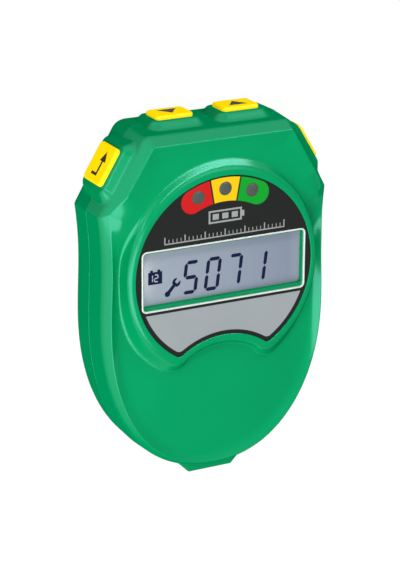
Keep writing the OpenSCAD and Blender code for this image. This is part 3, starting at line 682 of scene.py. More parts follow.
def slope_runs():
    """Run of the slope round the dial: narrow at the waist, wider by the sine's square up to the top,
    widest from 45 degrees under the waist to the tips, and narrower again along the arch."""
    upper = mixed(WAIST_RUN, TOP_RUN, np.sin(DIAL_ANGLES) ** 2)
    lower = mixed(WAIST_RUN, TIP_RUN, eased(-np.degrees(DIAL_ANGLES) / 45))
    past = (np.arange(TIP_STEPS + ARCH_STEPS) + 1) / TIP_STEPS
    arch = mixed(TIP_RUN, ARCH_RUN, eased(past * 0.7))
    return np.concatenate([np.where(DIAL_ANGLES > 0, upper, lower), arch])


def lifted(points, z):
    """Points of an outline at heights z."""
    z = np.broadcast_to(np.asarray(z, float), (len(points),))
    return np.concatenate([points, z[:, None]], axis=1)


def wall_line(g, z, r=CORNER_R):
    """The side wall's line at an offset g from its edge at the parting line."""
    return lifted(half_outline(HEAD_FLARE + g, FLARE + g, r), z)


def whole(half):
    """The half outline and its mirror image as one ring."""
    other = half[-2:0:-1] * np.array([-1, 1, 1])
    return np.concatenate([half, other])


def rounded_rows(stops):
    """Rows of points through a list of stops, each (points, cut, arc rows, rows up to the next stop). A
    stop with a cut is rounded by a parabola that starts and ends that far from it, but takes at most 0.45
    of the way to a neighbour that is rounded too, and 0.9 of the way to one that isn't."""

    def ways(i):
        """From a stop towards both neighbours: unit steps, and how far its rounding reaches."""
        steps, reach = [], stops[i][1]
        for k in (i - 1, i + 1):
            step = stops[k][0] - stops[i][0]
            length = np.linalg.norm(step, axis=1, keepdims=True)
            steps.append(step / length)
            reach = np.minimum(reach, length * (0.45 if rounds(k) else 0.9))
        return steps[0], steps[1], reach

    def rounds(i):
        """Whether a stop is rounded: its cut is over 0 at any station."""
        return np.max(stops[i][1]) > 0

    rows = []
    for i, (p, _, arc, fill) in enumerate(stops):
        end = p
        if rounds(i):
            back, ahead, reach = ways(i)
            start, end = p + back * reach, p + ahead * reach
            for t in np.arange(arc + 1) / arc:
                rows.append((1 - t) ** 2 * start + 2 * t * (1 - t) * p + t * t * end)
        else:
            rows.append(p)
        if i + 1 < len(stops):
            goal = stops[i + 1][0]
            if rounds(i + 1):
                back, _, reach = ways(i + 1)
                goal = goal + back * reach
            rows += [mixed(end, goal, (j + 1) / (fill + 1)) for j in range(fill)]
    return rows


class KeyPlace:
    """Where a key stands: its place on the wall, the wall's facing, the key's width and depth, and how
    far its platform reaches past it, flat and over its slope."""

    def __init__(self, x, y, facing, w, d, margins, run):
        self.at = np.array([x, y])
        self.out = turn(np.array(facing))
        self.along = turn(np.array(facing - math.pi / 2))
        self.w, self.d, self.margins, self.run = w, d, margins, run

    def local(self, points):
        """Distances along the wall, over the parting line and out of the wall."""
        flat = points[..., :2] - self.at
        return flat @ self.along, points[..., 2] - PARTING_Z, flat @ self.out

    def world(self, local):
        """Local (along, up, out) millimetres as metres in the frame."""
        a, u, h = local[..., 0:1], local[..., 1:2], local[..., 2:3]
        flat = self.at + a * self.along + h * self.out
        return np.concatenate([flat + [0, DIAL_Y / MM], u + PARTING_Z], axis=-1) * MM


SIDE_S = 17.7
SIDE_X = TOP_HALF + SIDE_S * math.sin(SLANT)
SIDE_Y = TOP_Y - SIDE_S * math.cos(SLANT)
TOP_KEY_X = 14.9
TOP_KEY = (16.4, 11.5, (1.8, 1.6), 2.5)
SIDE_KEY = (16.5, 15.5, (2.2, 1.8), 2.8)
KEYS = {
    "down_key": KeyPlace(-TOP_KEY_X, TOP_Y, math.pi / 2, *TOP_KEY),
    "up_key": KeyPlace(TOP_KEY_X, TOP_Y, math.pi / 2, *TOP_KEY),
    "escape_key": KeyPlace(-SIDE_X, SIDE_Y, math.pi - SLANT, *SIDE_KEY),
    "enter_key": KeyPlace(SIDE_X, SIDE_Y, SLANT, *SIDE_KEY),
}
PLATFORM_H, PLATFORM_R, PLATFORM_EDGE = HEAD_FLARE + 2.4, 2.6, 0.5
PLATFORM_FOOT = HEAD_FLARE - 0.2
KEY_TOP = PLATFORM_H + 1.7
KEY_R, KEY_GAP = 1.8, 0.2
FLANGE_TOP, FLANGE_T, FLANGE_OUT = -(WALL + 0.3), 1.2, 1.1
STEM_R, STEM_END = 1.5, FLANGE_TOP - 4.4


def with_platforms(points, blend):
    """Pushes wall points out into the key platforms. d is the distance past a rounded rectangle: inside
    it the platform is flat, outside it a straight slope falls to the wall over the run, and both ends are
    blended."""
    points = points.copy()
    reach, depth = 6, 3
    for key in KEYS.values():
        along, up, out = key.local(points)
        near = (out > -depth) & (np.abs(along) < key.w / 2 + reach)
        qx = np.abs(along) - (key.w / 2 + key.margins[0] - PLATFORM_R)
        qy = np.abs(up) - (key.d / 2 + key.margins[1] - PLATFORM_R)
        d = np.hypot(np.maximum(qx, 0), np.maximum(qy, 0)) + np.minimum(np.maximum(qx, qy), 0) - PLATFORM_R
        slope = PLATFORM_H - d * (PLATFORM_H - PLATFORM_FOOT) / key.run
        raised = soft_high(out, soft_low(np.full_like(out, PLATFORM_H), slope, PLATFORM_EDGE), blend)
        push = np.where(near, raised - out, 0)
        points[..., :2] += push[..., None] * key.out
    return points


def with_tab(points):
    """Pushes wall points at the foot out into the tab: a trapezium whose front face stands across the
    wall. Its sides slant back to a line that lies sunk in the wall, and past its width and height it
    falls away steeply."""
    points = points.copy()
    x, y, up = np.abs(points[..., 0]), points[..., 1], np.abs(points[..., 2] - PARTING_Z)
    line = np.maximum(TAB_Y, FOOT_Y + TAB_SINK - (TAB_HALF - x) * (TAB_OUT + TAB_SINK) / TAB_SLANT)
    side_fall, end_fall, blend = 1.2, 9, 0.35
    line = line + np.maximum(x - TAB_HALF, 0) * side_fall + np.maximum(up - TAB_HALF_T, 0) * end_fall
    pushed = soft_low(y, line, blend)
    points[..., 1] = np.where((y < FOOT_Y + 8) & (x < TAB_HALF + 4), pushed, y)
    return points


def to_frame(rows):
    """Rings in millimetres from the dial's centre as metres in the frame."""
    return [(ring + [0, DIAL_Y / MM, 0]) * MM for ring in rows]


def key_cutter(key):
    """A key's opening: a rounded rectangle a gap wider than the key, through the wall."""
    reach = 9.0
    w, d, r = key.w + 2 * KEY_GAP, key.d + 2 * KEY_GAP, KEY_R + KEY_GAP
    return skin([key.world(rounded_ring(w, d, r, h)) for h in (reach, -reach)])


def gland_cutter():
    """The gland's slot: a rounded rectangle from inside the wall out through the tab."""
    ring = rounded_ring(GLAND_W, GLAND_D, GLAND_R, 0.0)
    rows = []
    for y in (FOOT_Y + 5, FOOT_Y - 20):
        rows.append(np.stack([ring[:, 0], np.full(len(ring), y), ring[:, 1] + PARTING_Z], axis=-1))
    return skin(to_frame(rows))


def upright_cutter(ring, low, high):
    """A prism over an outline, from a low to a high z."""
    return skin(to_frame([ring + [0, 0, high], ring + [0, 0, low]]))


def disc_ring(x, y, r, steps=64):
    """A circle of points, clockwise from +x."""
    a = -np.arange(steps) * 2 * math.pi / steps
    return np.stack([x + r * np.cos(a), y + r * np.sin(a), np.zeros(steps)], axis=-1)


LAMP_RING, LAMP_TURN = DIAL_R - 5.4, math.radians(20.5)
LAMPS = {
    name: (LAMP_RING * math.sin(k * LAMP_TURN), LAMP_RING * math.cos(k * LAMP_TURN))
    for name, k in (("red", -1), ("yellow", 0), ("green", 1))
}
LENS_R = 2.6
VIEW_W, VIEW_D, VIEW_R, VIEW_Y = 2 * WINDOW_HALF / MM - 2.4, 22.5, 1.0, 0.5
CASE_SCREWS = [(-28, TOP_Y - 8), (28, TOP_Y - 8), (-27, FOOT_Y + 26.5), (27, FOOT_Y + 26.5)]
POST_R, SCREW_HEAD_R, SCREW_R, HEAD_FLOOR, POST_TOP = 4.15, 3.05, 1.7, 8.0, 14.9

# The angle under which the covers' edges are smooth
COVER_CREASE = math.radians(32)


def ridge_heights():
    """z of the ridge at each station."""
    z = station_values(TOP_RIDGE_Z + TOP_RISE, SIDE_RIDGE_Z, SIDE_RIDGE_Z - FOOT_DROP)
    drop = SHOULDER_DROP * (1 - eased((RIDGE_SHOULDER[1] - RIDGE_HALF[:, 1]) / SHOULDER_FADE))
    return z - station_values(0.0, 1.0, 1.0) * drop


def slope_foot_heights(form):
    """z of the slope's foot at each station: near the top ridge's at the head, a valley under the side
    ridge at the waist, and just under the label over the belly."""
    head, waist = TOP_RIDGE_Z - HEAD_VALLEY_DROP, SIDE_RIDGE_Z - form.valley / MM
    upper = mixed(head, waist, eased((DISH_FROM - RIDGE_HALF[:, 1]) / DISH_FADE))
    return mixed(upper, LABEL_TOP - form.belly_drop / MM, station_values(0.0, 0.0, 1.0))


def front_rows(form):
    """Rings of the front cover, from the label's pocket over the rim, slope, dish, ridge and bevel down
    the side wall, round the tongue and back up inside."""
    foot_at = RIM_W + slope_runs()
    ridge_z, foot_z = ridge_heights(), slope_foot_heights(form)
    dip = form.valley / MM
    belly = station_values(0.0, 0.0, 1.0)
    foot, ridge = half_dial(foot_at), RIDGE_HALF
    width = np.linalg.norm(ridge - foot, axis=1)
    valley_run = station_values(HEAD_VALLEY_RUN, form.valley_run / MM, form.valley_run / MM)
    valley = np.minimum(valley_run, 0.8 * width)

    def dish(t):
        """The face between slope foot and ridge. At the head and waist it is level and rises to the ridge
        as a power of the distance; over the belly it falls to the ridge in a straight line, less a dip
        that ends in the same rise."""
        x = np.minimum((1 - t) * width / valley, 1)
        rise = (1 - x) ** DISH_POWER
        level = foot_z + (ridge_z - foot_z) * rise
        inner = np.minimum(t / (1 - valley / width), 1)
        falling = mixed(foot_z, ridge_z, t) - BELLY_DIP * dip * (1 - rise) * inner
        return lifted(mixed(foot, ridge, t), mixed(level, falling, belly))

    def cut(size, side=1.0, foot=1.0):
        """A rounding per station, scaled along the sides and over the belly."""
        return station_values(1.0, side, foot)[:, None] * size / MM

    fold_z = station_values(TOP_RIDGE_Z, SIDE_RIDGE_Z, SIDE_RIDGE_Z) - BEVEL_H
    seam = form.seam / MM
    lip = LIP_W - WALL
    inner_ridge = half_outline(-BEVEL_W - WALL, -SIDE_BEVEL_W - WALL, CORNER_R)
    inner_slope = foot_at - 1.2
    pocket_cut, rim_edge = 0.22, 0.4
    stops = [
        (lifted(half_dial(0), POCKET_Z), 0, 0, 1),
        (lifted(half_dial(0), RIM_Z), pocket_cut, 3, 0),
        (lifted(half_dial(rim_edge), RIM_Z), 0, 0, 1),
        (lifted(half_dial(RIM_W), RIM_Z), cut(form.rim_round, 2.0, 1.4), 9, 3),
        (dish(0.0), cut(form.foot_round, 3.5, 2.5), 6, 1),
        *[(dish(t), 0, 0, 0) for t in DISH_ROWS],
        (dish(1.0), cut(form.ridge_round), 5, 3),
        (lifted(half_outline(0, 0, CORNER_R), fold_z), cut(form.fold_round, 3.0, 2.4), 9, 30),
        (wall_line(0, PARTING_Z + seam), 0, 0, 0),
        (wall_line(-seam, PARTING_Z), 0, 0, 0),
        (wall_line(lip, PARTING_Z), 0, 0, 0),
        (wall_line(lip, PARTING_Z - LIP_H), 0, 0, 0),
        (wall_line(-WALL, PARTING_Z - LIP_H), 0, 0, 3),
        (lifted(half_outline(-WALL, -WALL, CORNER_R), fold_z - 1), 0, 0, 1),
        (lifted(inner_ridge, ridge_z - dip - WALL), 0, 0, 1),
        (lifted(half_dial(inner_slope), foot_z - WALL), 0, 0, 1),
        (lifted(half_dial(RIM_W - 1.4), CEILING_Z), 0, 0, 0),
    ]
    return [whole(row) for row in rounded_rows(stops)]


def build_front_cover(form, plastic):
    """The front cover: its rings with platforms and tab pushed out of the outer ones, less the
    openings."""
    blend = form.platform_blend / MM
    shaped = []
    inner = False
    for ring in front_rows(form):
        inner = inner or ring[:, 2].max() < PARTING_Z - 1
        shaped.append(ring if inner else with_tab(with_platforms(ring, blend)))
    low = np.array([0, DIAL_Y, CEILING_Z * MM])
    high = np.array([0, DIAL_Y, POCKET_Z * MM])
    points, faces = skin(to_frame(shaped), first_cap=high, last_cap=low)
    made = piece_from("front_housing", points, faces, plastic, None)
    cutters = [key_cutter(key) for key in KEYS.values()]
    cutters.append(gland_cutter())
    under, over = 20, 50
    view = rounded_ring(VIEW_W, VIEW_D, VIEW_R, 0) + [0, VIEW_Y, 0]
    cutters.append(upright_cutter(view, under, over))
    cutters += [upright_cutter(disc_ring(x, y, LENS_R), under, over) for x, y in LAMPS.values()]
    carved(made, cutters)
    finished(made, "housing", "housing_green", "front_cover")


def finished(made, body, slot, *nodes):
    """Smooths a carved piece, seats it on its body and lets it stand for its nodes."""
    made.data.shade_smooth()
    made.data.set_sharp_from_angle(angle=COVER_CREASE)
    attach(made, body)
    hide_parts(*nodes)


REAR_INNER_ROWS = 7


def rear_rows(form):
    """Rings of the rear cover: the inner ones from its floor up and over the rabbet, then down the side
    wall to the rounded back."""
    seam = form.seam / MM
    rabbet = LIP_W + LIP_GAP - WALL
    bend = BACK_R - WALL
    shelf_z = PARTING_Z - LIP_H - LIP_GAP

    def rounded(a):
        """A row of the rounded edge at the back, at an angle a round it."""
        g = -BACK_R * (1 - math.cos(a))
        outline = half_outline(HEAD_FLARE + g, FLARE - 0.3 + g, BACK_CORNER_R)
        return lifted(outline, BACK_R * (1 - math.sin(a)))

    stops = [
        (wall_line(-WALL - bend, FLOOR, BACK_CORNER_R), 0, 0, 0),
        (wall_line(-WALL - 0.3, FLOOR + bend, BACK_CORNER_R), 0, 0, 2),
        (wall_line(-WALL, shelf_z), 0, 0, 0),
        (wall_line(rabbet, shelf_z), 0, 0, 0),
        (wall_line(rabbet, PARTING_Z), 0, 0, 0),
        (wall_line(-seam, PARTING_Z), 0, 0, 0),
        (wall_line(0, PARTING_Z - seam), 0, 0, 26),
        *[(rounded(a), 0, 0, 0) for a in np.radians(np.arange(0, 91, 9))],
    ]
    return [whole(row) for row in rounded_rows(stops)]


def lathe(profile, x, y):
    """A profile of (radius, height) turned round an upright line. The profile closes on itself."""
    rings = [disc_ring(x, y, r, 48) + [0, 0, z] for r, z in profile]
    rings = np.stack(to_frame(rings))
    m, n, _ = rings.shape
    i, j = np.meshgrid(np.arange(m), np.arange(n), indexing="ij")
    a, b = i * n + j, i * n + (j + 1) % n
    c, d = (i + 1) % m * n + (j + 1) % n, (i + 1) % m * n + j
    return rings.reshape(-1, 3), np.stack([a, b, c, d], axis=-1).reshape(-1, 4).tolist()


def build_rear_cover(form, plastic):
    """The rear cover: its rings with platforms and tab pushed out of the outer ones, less the openings,
    and the four posts that the case screws stand in."""
    blend = form.platform_blend / MM
    rows = rear_rows(form)
    outer = [with_tab(with_platforms(ring, blend)) for ring in rows[REAR_INNER_ROWS:]]
    floor = np.array([0, DIAL_Y, FLOOR * MM])
    back = np.array([0, DIAL_Y, 0])
    points, faces = skin(to_frame(rows[:REAR_INNER_ROWS] + outer), first_cap=floor, last_cap=back)
    made = piece_from("rear_housing", points, faces, plastic, None)
    cutters = [key_cutter(key) for key in KEYS.values()]
    cutters.append(gland_cutter())
    cutters += [upright_cutter(disc_ring(x, y, SCREW_HEAD_R), -5, HEAD_FLOOR) for x, y in CASE_SCREWS]
    carved(made, cutters)
    profile = [
        (POST_R, POST_TOP),
        (POST_R, 0.4),
        (SCREW_HEAD_R, 0.4),
        (SCREW_HEAD_R, HEAD_FLOOR),
        (SCREW_R, HEAD_FLOOR),
        (SCREW_R, POST_TOP),
    ]
    points, faces = joined(*[lathe(profile, x, y) for x, y in CASE_SCREWS])
    piece_from("screw_posts", points, faces, plastic, "housing", COVER_CREASE)
    finished(made, "housing", "housing_green", "rear_cover")


# Operators


class TesterOperator:
    """What the operators share"""

    bl_options = {"REGISTER", "UNDO"}


class TESTER_OT_covers(TesterOperator, bpy.types.Operator):
    """Build the two moulded covers with their key platforms, tab and openings"""

    bl_idname = "tester.covers"
    bl_label = "Covers"

    def execute(self, context):
        form = context.scene.tester_housing
        color, sheen = tuple(form.plastic), tuple(form.sheen)
        plastic = moulded_plastic("housing_plastic", color, grain=form.grain / MM, sheen=sheen)
        build_front_cover(form, plastic)
        build_rear_cover(form, plastic)
        return {"FINISHED"}


INK_T = 0.05


def symbol_prism(key, outline, z):
    """A thin flat symbol on a key. The outline's points are along the wall and up, and it may be
    concave."""
    top = np.array([[x, y, z] for x, y in outline])
    n = len(top)
    points = key.world(np.concatenate([top, top - [0, 0, INK_T]]))
    faces = [list(range(n)), list(range(2 * n - 1, n - 1, -1))]
    faces += [[i, i + n, (i + 1) % n + n, (i + 1) % n] for i in range(n)]
    return points, faces


def key_cap(key, edge):
    """A key: rounded rings from its crowned top, which falls by 0.04 with the square of the way out, over
    the quarter-round edge down to its flange."""
    rings = []
    for t in (0.0, 0.35, 0.7, 0.9):
        grow = mixed(0.05, 1, t)
        w, d = (key.w - 2 * edge) * grow, (key.d - 2 * edge) * grow
        rings.append(rounded_ring(w, d, max((KEY_R - edge * 0.6) * grow, 0.02), KEY_TOP - 0.04 * t * t))
    for a in np.radians(np.arange(0, 91, 15)):
        inset = edge * (1 - math.sin(a))
        z = KEY_TOP - 0.05 - edge * (1 - math.cos(a))
        rings.append(rounded_ring(key.w - 2 * inset, key.d - 2 * inset, KEY_R - inset * 0.6, z))
    w, d = key.w + 2 * FLANGE_OUT, key.d + 2 * FLANGE_OUT
    rings.append(rounded_ring(key.w, key.d, KEY_R, FLANGE_TOP))
    rings.append(rounded_ring(w, d, KEY_R, FLANGE_TOP))
    rings.append(rounded_ring(w, d, KEY_R, FLANGE_TOP - FLANGE_T))
    return skin([key.world(ring) for ring in rings])


def stem(key):
    """The key's round stem, from inside its flange to the switch."""
    circle = disc_ring(0, 0, STEM_R, 32)
    return skin([key.world(circle + [0, 0, h]) for h in (FLANGE_TOP - FLANGE_T / 2, STEM_END)])


class TESTER_OT_keys(TesterOperator, bpy.types.Operator):
    """Build the four keys and their printed symbols"""

    bl_idname = "tester.keys"
    bl_label = "Keys"

    def execute(self, context):
        look = context.scene.tester_keys
        color = tuple(look.plastic)
        # The keys give off a little light in their yellow: painted light that makes them brighter than the
        # lamps do.
        plastic = moulded_plastic("key_plastic", color, 0.4, 0.3, 0.015, 0.03, level=0.3, painted_glow=0.4)
        ink = print_ink("key_print", tuple(look.symbol), level=0.1)
        for name, key in KEYS.items():
            points, faces = joined(key_cap(key, look.edge / MM), stem(key))
            made = piece_from(name + "_cap", points, faces, plastic, name, math.radians(40))
            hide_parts(name)
            for i, outline in enumerate(self.symbols(name, key)):
                points, faces = symbol_prism(key, outline, KEY_TOP + 0.012)
                piece_from(f"{name}_mark_{i}", points, faces, ink, name)
        return {"FINISHED"}

    @staticmethod
    def symbols(name, key):
        """Outlines of a key's print: along the wall, and up towards the display's side."""
        if name in ("down_key", "up_key"):
            w, h = 0.26 * key.w, 0.25 * key.d
            tip = -1 if name == "up_key" else 1
            return [[(-w, -tip * h), (w, -tip * h), (0, tip * h)][:: -tip]]
        if name == "escape_key":
            return [
                [(-5.2, -2.6), (-4.0, -2.6), (-4.0, 0.9), (1.0, 0.9), (1.0, 2.1), (-5.2, 2.1)],
                [(1.0, 3.9), (5.4, 1.5), (1.0, -0.9)],
            ]
        around = turn(np.radians(np.arange(0, 360, 7.5)))
        ring, hole = (3.4 * around).tolist(), (2.3 * around).tolist()
        half = len(ring) // 2
        upper = ring[: half + 1] + hole[: half + 1][::-1]
        lower = ring[half:] + ring[:1] + hole[:1] + hole[half:][::-1]
        return [upper, lower]


SEGMENTS = dict(
    zip("0123456789", "abcdef bc abged abgcd fgbc afgcd afgecd abc abcdefg abcdfg".split(), strict=True)
)
FIGURE_X = (-16.6, -6.6, 3.2, 14.6)
FIGURE_W, FIGURE_H, FIGURE_T, FIGURE_Y = 5.3, 12.6, 1.5, -7.9
LEAN_FROM = -1.5
SMALL_FIGURES, SMALL_Y = (("1", -32.6), ("2", -30.2)), -1.1
SMALL_W, SMALL_H, SMALL_T = 1.5, 2.9, 0.42


def bar(a, b, t):
    """A display segment from a to b: a bar of thickness t whose ends are points as long as half of it."""
    a, b = np.array(a, float), np.array(b, float)
    d = (b - a) / np.linalg.norm(b - a)
    n = np.array([-d[1], d[0]]) * t / 2
    e = d * t / 2
    return np.array([a, a + e + n, b - e + n, b, b - e - n, a + e - n])


def digit_bars(symbol, w, h, t, g=0.16):
    """The segments of a seven-segment digit whose strokes' middles span w by h, from its lower left
    corner. Each stops g short of the corners."""
    place = {
        "a": ((g, h), (w - g, h)),
        "b": ((w, h - g), (w, h / 2 + g)),
        "c": ((w, h / 2 - g), (w, g)),
        "d": ((g, 0), (w - g, 0)),
        "e": ((0, h / 2 - g), (0, g)),
        "f": ((0, h - g), (0, h / 2 + g)),
        "g": ((g, h / 2), (w - g, h / 2)),
    }
    return [bar(*place[s], t) for s in SEGMENTS[symbol]]


def flat_prisms(outlines, z, depth):
    """Thin prisms with flat tops at z from outlines in millimetres from the dial's centre."""
    shells = []
    for outline in outlines:
        o = np.asarray(outline, float)
        area = np.sum(o[:, 0] * np.roll(o[:, 1], -1) - np.roll(o[:, 0], -1) * o[:, 1])
        o = o if area > 0 else o[::-1]
        n = len(o)
        top = lifted(o, z)
        points = to_frame([np.concatenate([top, top - [0, 0, depth]])])[0]
        faces = [list(range(n)), list(range(2 * n - 1, n - 1, -1))]
        faces += [[(i + 1) % n, i, i + n, (i + 1) % n + n] for i in range(n)]
        shells.append((points, faces))
    return joined(*shells)


def plate(x, y, w, h):
    """A rectangle's corners from its lower left one, anticlockwise."""
    return [(x, y), (x + w, y), (x + w, y + h), (x, y + h)]


def battery_outline(x, y, w, h):
    """A car battery seen from the side: a block with two posts on top, near its corners."""
    rise, inset, post = h * 0.16, w * 0.14, w * 0.34
    left = [(0, h), (inset, h), (inset, h + rise), (post, h + rise), (post, h)]
    right = [(w - a, b) for a, b in reversed(left)]
    return np.array([(0, 0), (w, 0), *reversed(left + right)]) + [x, y]


def spanner_outline(x, y, length, angle):
    """An open-ended spanner lying at an angle: a round end, a straight handle, and a round head whose arc
    runs to 28 degrees on both sides of a slot."""
    head, handle = 0.27 * length, 0.105 * length
    middle = 0.86 * length
    neck = middle - head * 0.8
    upper = [middle, 0] + head * turn(np.radians(np.linspace(28, 332, 22)[:9]))
    grip = handle * 1.7 * turn(np.radians(np.linspace(40, 320, 14)))
    slot = [(middle - head * 0.12, -head * 0.36), (middle - head * 0.12, head * 0.36)]
    points = np.concatenate([upper, [(neck, handle)], grip, [(neck, -handle)], upper[::-1] * [1, -1], slot])
    c, s = math.cos(angle), math.sin(angle)
    return points @ np.array([[c, s], [-s, c]]) + [x, y]


class TESTER_OT_display(TesterOperator, bpy.types.Operator):
    """Dress the display: glass with painted light, figures, clear window and a painted highlight round it
    """

    bl_idname = "tester.display"
    bl_label = "Display"

    def execute(self, context):
        look = context.scene.tester_dial
        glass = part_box("lcd_glass")[1].z / MM
        # The display's shade, flares and glow are painted light.
        paint_node("lcd_glass", lit_glass("lit_glass", tuple(look.glass), tuple(look.glass_far)))
        lean = math.tan(look.slant)
        figures = []
        for symbol, x in zip(look.figures, FIGURE_X):
            for segment in digit_bars(symbol, FIGURE_W, FIGURE_H, FIGURE_T):
                y = segment[:, 1] + FIGURE_Y
                figures.append(np.stack([segment[:, 0] + x + (y - LEAN_FROM) * lean, y], axis=-1))
        figures.append(battery_outline(-33.0, -2.2, 6.2, 5.2))
        figures.append(spanner_outline(-24.4, -7.2, 6.9, math.radians(48)))
        points, faces = flat_prisms(figures, glass + 0.05, 0.04)
        ink = print_ink("display_ink", tuple(look.ink), 0.35, level=0.1)
        piece_from("display_figures", points, faces, ink, "housing")
        small = []
        for symbol, x in SMALL_FIGURES:
            bars = digit_bars(symbol, SMALL_W, SMALL_H, SMALL_T, 0.05)
            small += [segment + [x, SMALL_Y] for segment in bars]
        points, faces = flat_prisms(small, glass + 0.1, 0.03)
        pale = print_ink("display_reversed", srgb(205, 213, 226), 0.35)
        piece_from("display_small_figures", points, faces, pale, "housing")
        w, h, r = 2 * WINDOW_HALF / MM, 25.9, 2.2
        self.pane(w, h, r)
        # The bead's pale colour is a painted highlight on the window's edge.
        self.bead(w, h, r, tuple(look.painted_edge_highlight))
        return {"FINISHED"}

    @staticmethod
    def pane(w, h, r):
        """The clear pane: a rounded sheet as thick as the label, flush in it."""
        inset = 0.8
        outline = rounded_ring(w - 2 * inset, h - 2 * inset, r - inset, LABEL_TOP)
        points, faces = skin(to_frame([outline, outline - [0, 0, LABEL_T]]))
        clear = clear_sheet("clear_pane", srgb(70, 76, 80), 0.06)
        made = piece_from("clear_pane", points, faces, clear, "housing")
        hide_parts("display_window")

    @staticmethod
    def bead(w, h, r, color):
        """The pane's bead: half an ellipse over two straight legs, carried round the window. Its pale
        colour is a painted highlight along the window's edge.
        """
        half, rise = 0.36, 0.28
        profile = [(0, -LABEL_T)]
        for a in np.radians(np.arange(0, 181, 15)):
            profile.append((half * (1 - math.cos(a)), 0.02 + rise * math.sin(a)))
        profile.append((2 * half, -LABEL_T))
        rows = [rounded_ring(w - 2 * i, h - 2 * i, r - i, LABEL_TOP + z) for i, z in profile]
        rings = np.stack(to_frame(rows))
        m, n, _ = rings.shape
        j = np.arange(n)
        bottom = np.stack([j, (j + 1) % n, (m - 1) * n + (j + 1) % n, (m - 1) * n + j], axis=-1)
        faces = np.concatenate([grid_faces(m, n)[:, ::-1], bottom])
        # Pale colour of the bead: painted highlight.
        paint = Paint("painted_window_highlight")
        finish = paint.finish(
            Base_Color=paint.mix(paint.noise(300.0), darker(color, 0.92), color),
            Roughness=0.18,
            Coat_Weight=0.5,
            Specular_IOR_Level=0.6,
        )
        points, smooth = rings.reshape(-1, 3), math.radians(50)
        piece_from("painted_window_highlight", points, faces, finish, "housing", smooth)


def paint_node(name, material):
    """Gives a CAD node its finish."""
    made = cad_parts[name]
    made.data.materials.clear()
    made.data.materials.append(material)


class TESTER_OT_dial(TesterOperator, bpy.types.Operator):
    """Print the label, and set the lamps' lenses and the scale on it"""

    bl_idname = "tester.dial"
    bl_label = "Dial"

    def execute(self, context):
        look = context.scene.tester_dial
        paint_node("face_label", printed_film("printed_film", look))
        smoked = smoked_lens("smoked_lens", srgb(84, 90, 84))
        dome = [(0.3, 0.34), (1.0, 0.31), (1.6, 0.24), (2.1, 0.15), (2.45, 0.06)]
        profile = [*dome, (LENS_R, 0.02), (LENS_R + 0.18, 0.0), (LENS_R + 0.2, -LABEL_T)]
        lenses = []
        for x, y in LAMPS.values():
            lenses.append(skin(to_frame([disc_ring(x, y, r) + [0, 0, LABEL_TOP + z] for r, z in profile])))
        points, faces = joined(*lenses)
        smooth = math.radians(60)
        made = piece_from("lamp_lenses", points, faces, smoked, "housing", smooth)
        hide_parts("lamp_windows")
        self.scale(look)
        return {"FINISHED"}

    @staticmethod
    def scale(look):
        """A plain scale over the display, with a longer tick at each fifth, and a battery outline above
        it: a box of four strokes with a post and three bars."""
        left, ticks, step, foot = -27.0, 31, 1.8, 15.2
        marks = []
        for i in range(ticks):
            h, t = (2.6, 0.5) if i % 5 == 0 else (1.5, 0.32)
            marks.append(plate(left + step * i - t / 2, foot, t, h))
        marks.append(plate(left - 0.25, foot - 0.6, (ticks - 1) * step + 0.5, 0.5))
        x, y, w, h, t = -7.5, 20.6, 15.0, 5.4, 0.75
        marks += [plate(x, y, w, t), plate(x, y + h - t, w, t)]
        marks += [plate(x, y + t, t, h - 2 * t), plate(x + w - t, y + t, t, h - 2 * t)]
        inset = 1.5
        for at, wide in ((w, 1.1), (1.8, 2.8), (6.1, 2.8), (10.4, 2.8)):
            marks.append(plate(x + at, y + inset, wide, h - 2 * inset))
        points, faces = flat_prisms(marks, LABEL_TOP + 0.03, 0.05)
        ink = print_ink("scale_print", tuple(look.marks))
        piece_from("dial_scale", points, faces, ink, "housing")


class TESTER_OT_inside(TesterOperator, bpy.types.Operator):
    """Give the gland, screws, board and other inner pieces their finishes"""

    bl_idname = "tester.inside"
    bl_label = "Gland, screws and inner pieces"

    def execute(self, context):
        white = moulded_plastic("white_moulding", srgb(232, 232, 226), 0.45, 0.5)
        black = moulded_plastic("black_moulding", srgb(30, 30, 32), 0.45, 0.4)
        steel = plain_metal("screw_steel_finish", srgb(190, 192, 196))
        plungers = [key.replace("_key", "_plunger") for key in KEYS]
        switches = [key.replace("_key", "_switch") for key in KEYS]
        finishes = {
            matt_rubber("gland_rubber_finish", srgb(34, 34, 36)): ["lead_gland"],
            matt_rubber("contact_rubber", srgb(214, 140, 150)): ["lcd_connectors"],
            steel: ["case_screws", "board_screws", "terminal_screws"],
            plain_metal("shunt_alloy_finish", srgb(205, 150, 110)): ["shunt_strip"],
            plain_metal("can_finish", srgb(80, 88, 110), 0.4): ["capacitors"],
            lacquered_board("board_lacquer", srgb(16, 92, 48)): ["main_board"],
            white: ["lcd_holder", "lcd_backlight", "led_spacers", *plungers],
            black: ["controller_chip", "load_transistors", *switches],
            moulded_plastic("terminal_plastic", srgb(30, 120, 66)): ["terminal_block"],
            clear_sheet("red_lens", srgb(190, 20, 20), 0.9): ["red_led"],
            clear_sheet("yellow_lens", srgb(240, 190, 20), 0.9): ["yellow_led"],
            clear_sheet("green_lens", srgb(20, 150, 50), 0.9): ["green_led"],
        }
        for material, names in finishes.items():
            for name in names:
                paint_node(name, material)
        return {"FINISHED"}


def area_light(name, place, aim, width, height, power, along=(1, 0, 0)):
    """A rectangular light that faces aim, with its width lying along a direction."""
    data = bpy.data.lights.new(name, "AREA")
    data.shape = "RECTANGLE"
    data.size, data.size_y = width, height
    data.energy = power
    made = bpy.data.objects.new(name, data)
    bpy.context.scene.collection.objects.link(made)
    back = (Vector(place) - Vector(aim)).normalized()
    side = (Vector(along) - back * back.dot(Vector(along))).normalized()
    made.location = place
    made.rotation_euler = Matrix((side, back.cross(side), back)).transposed().to_euler()


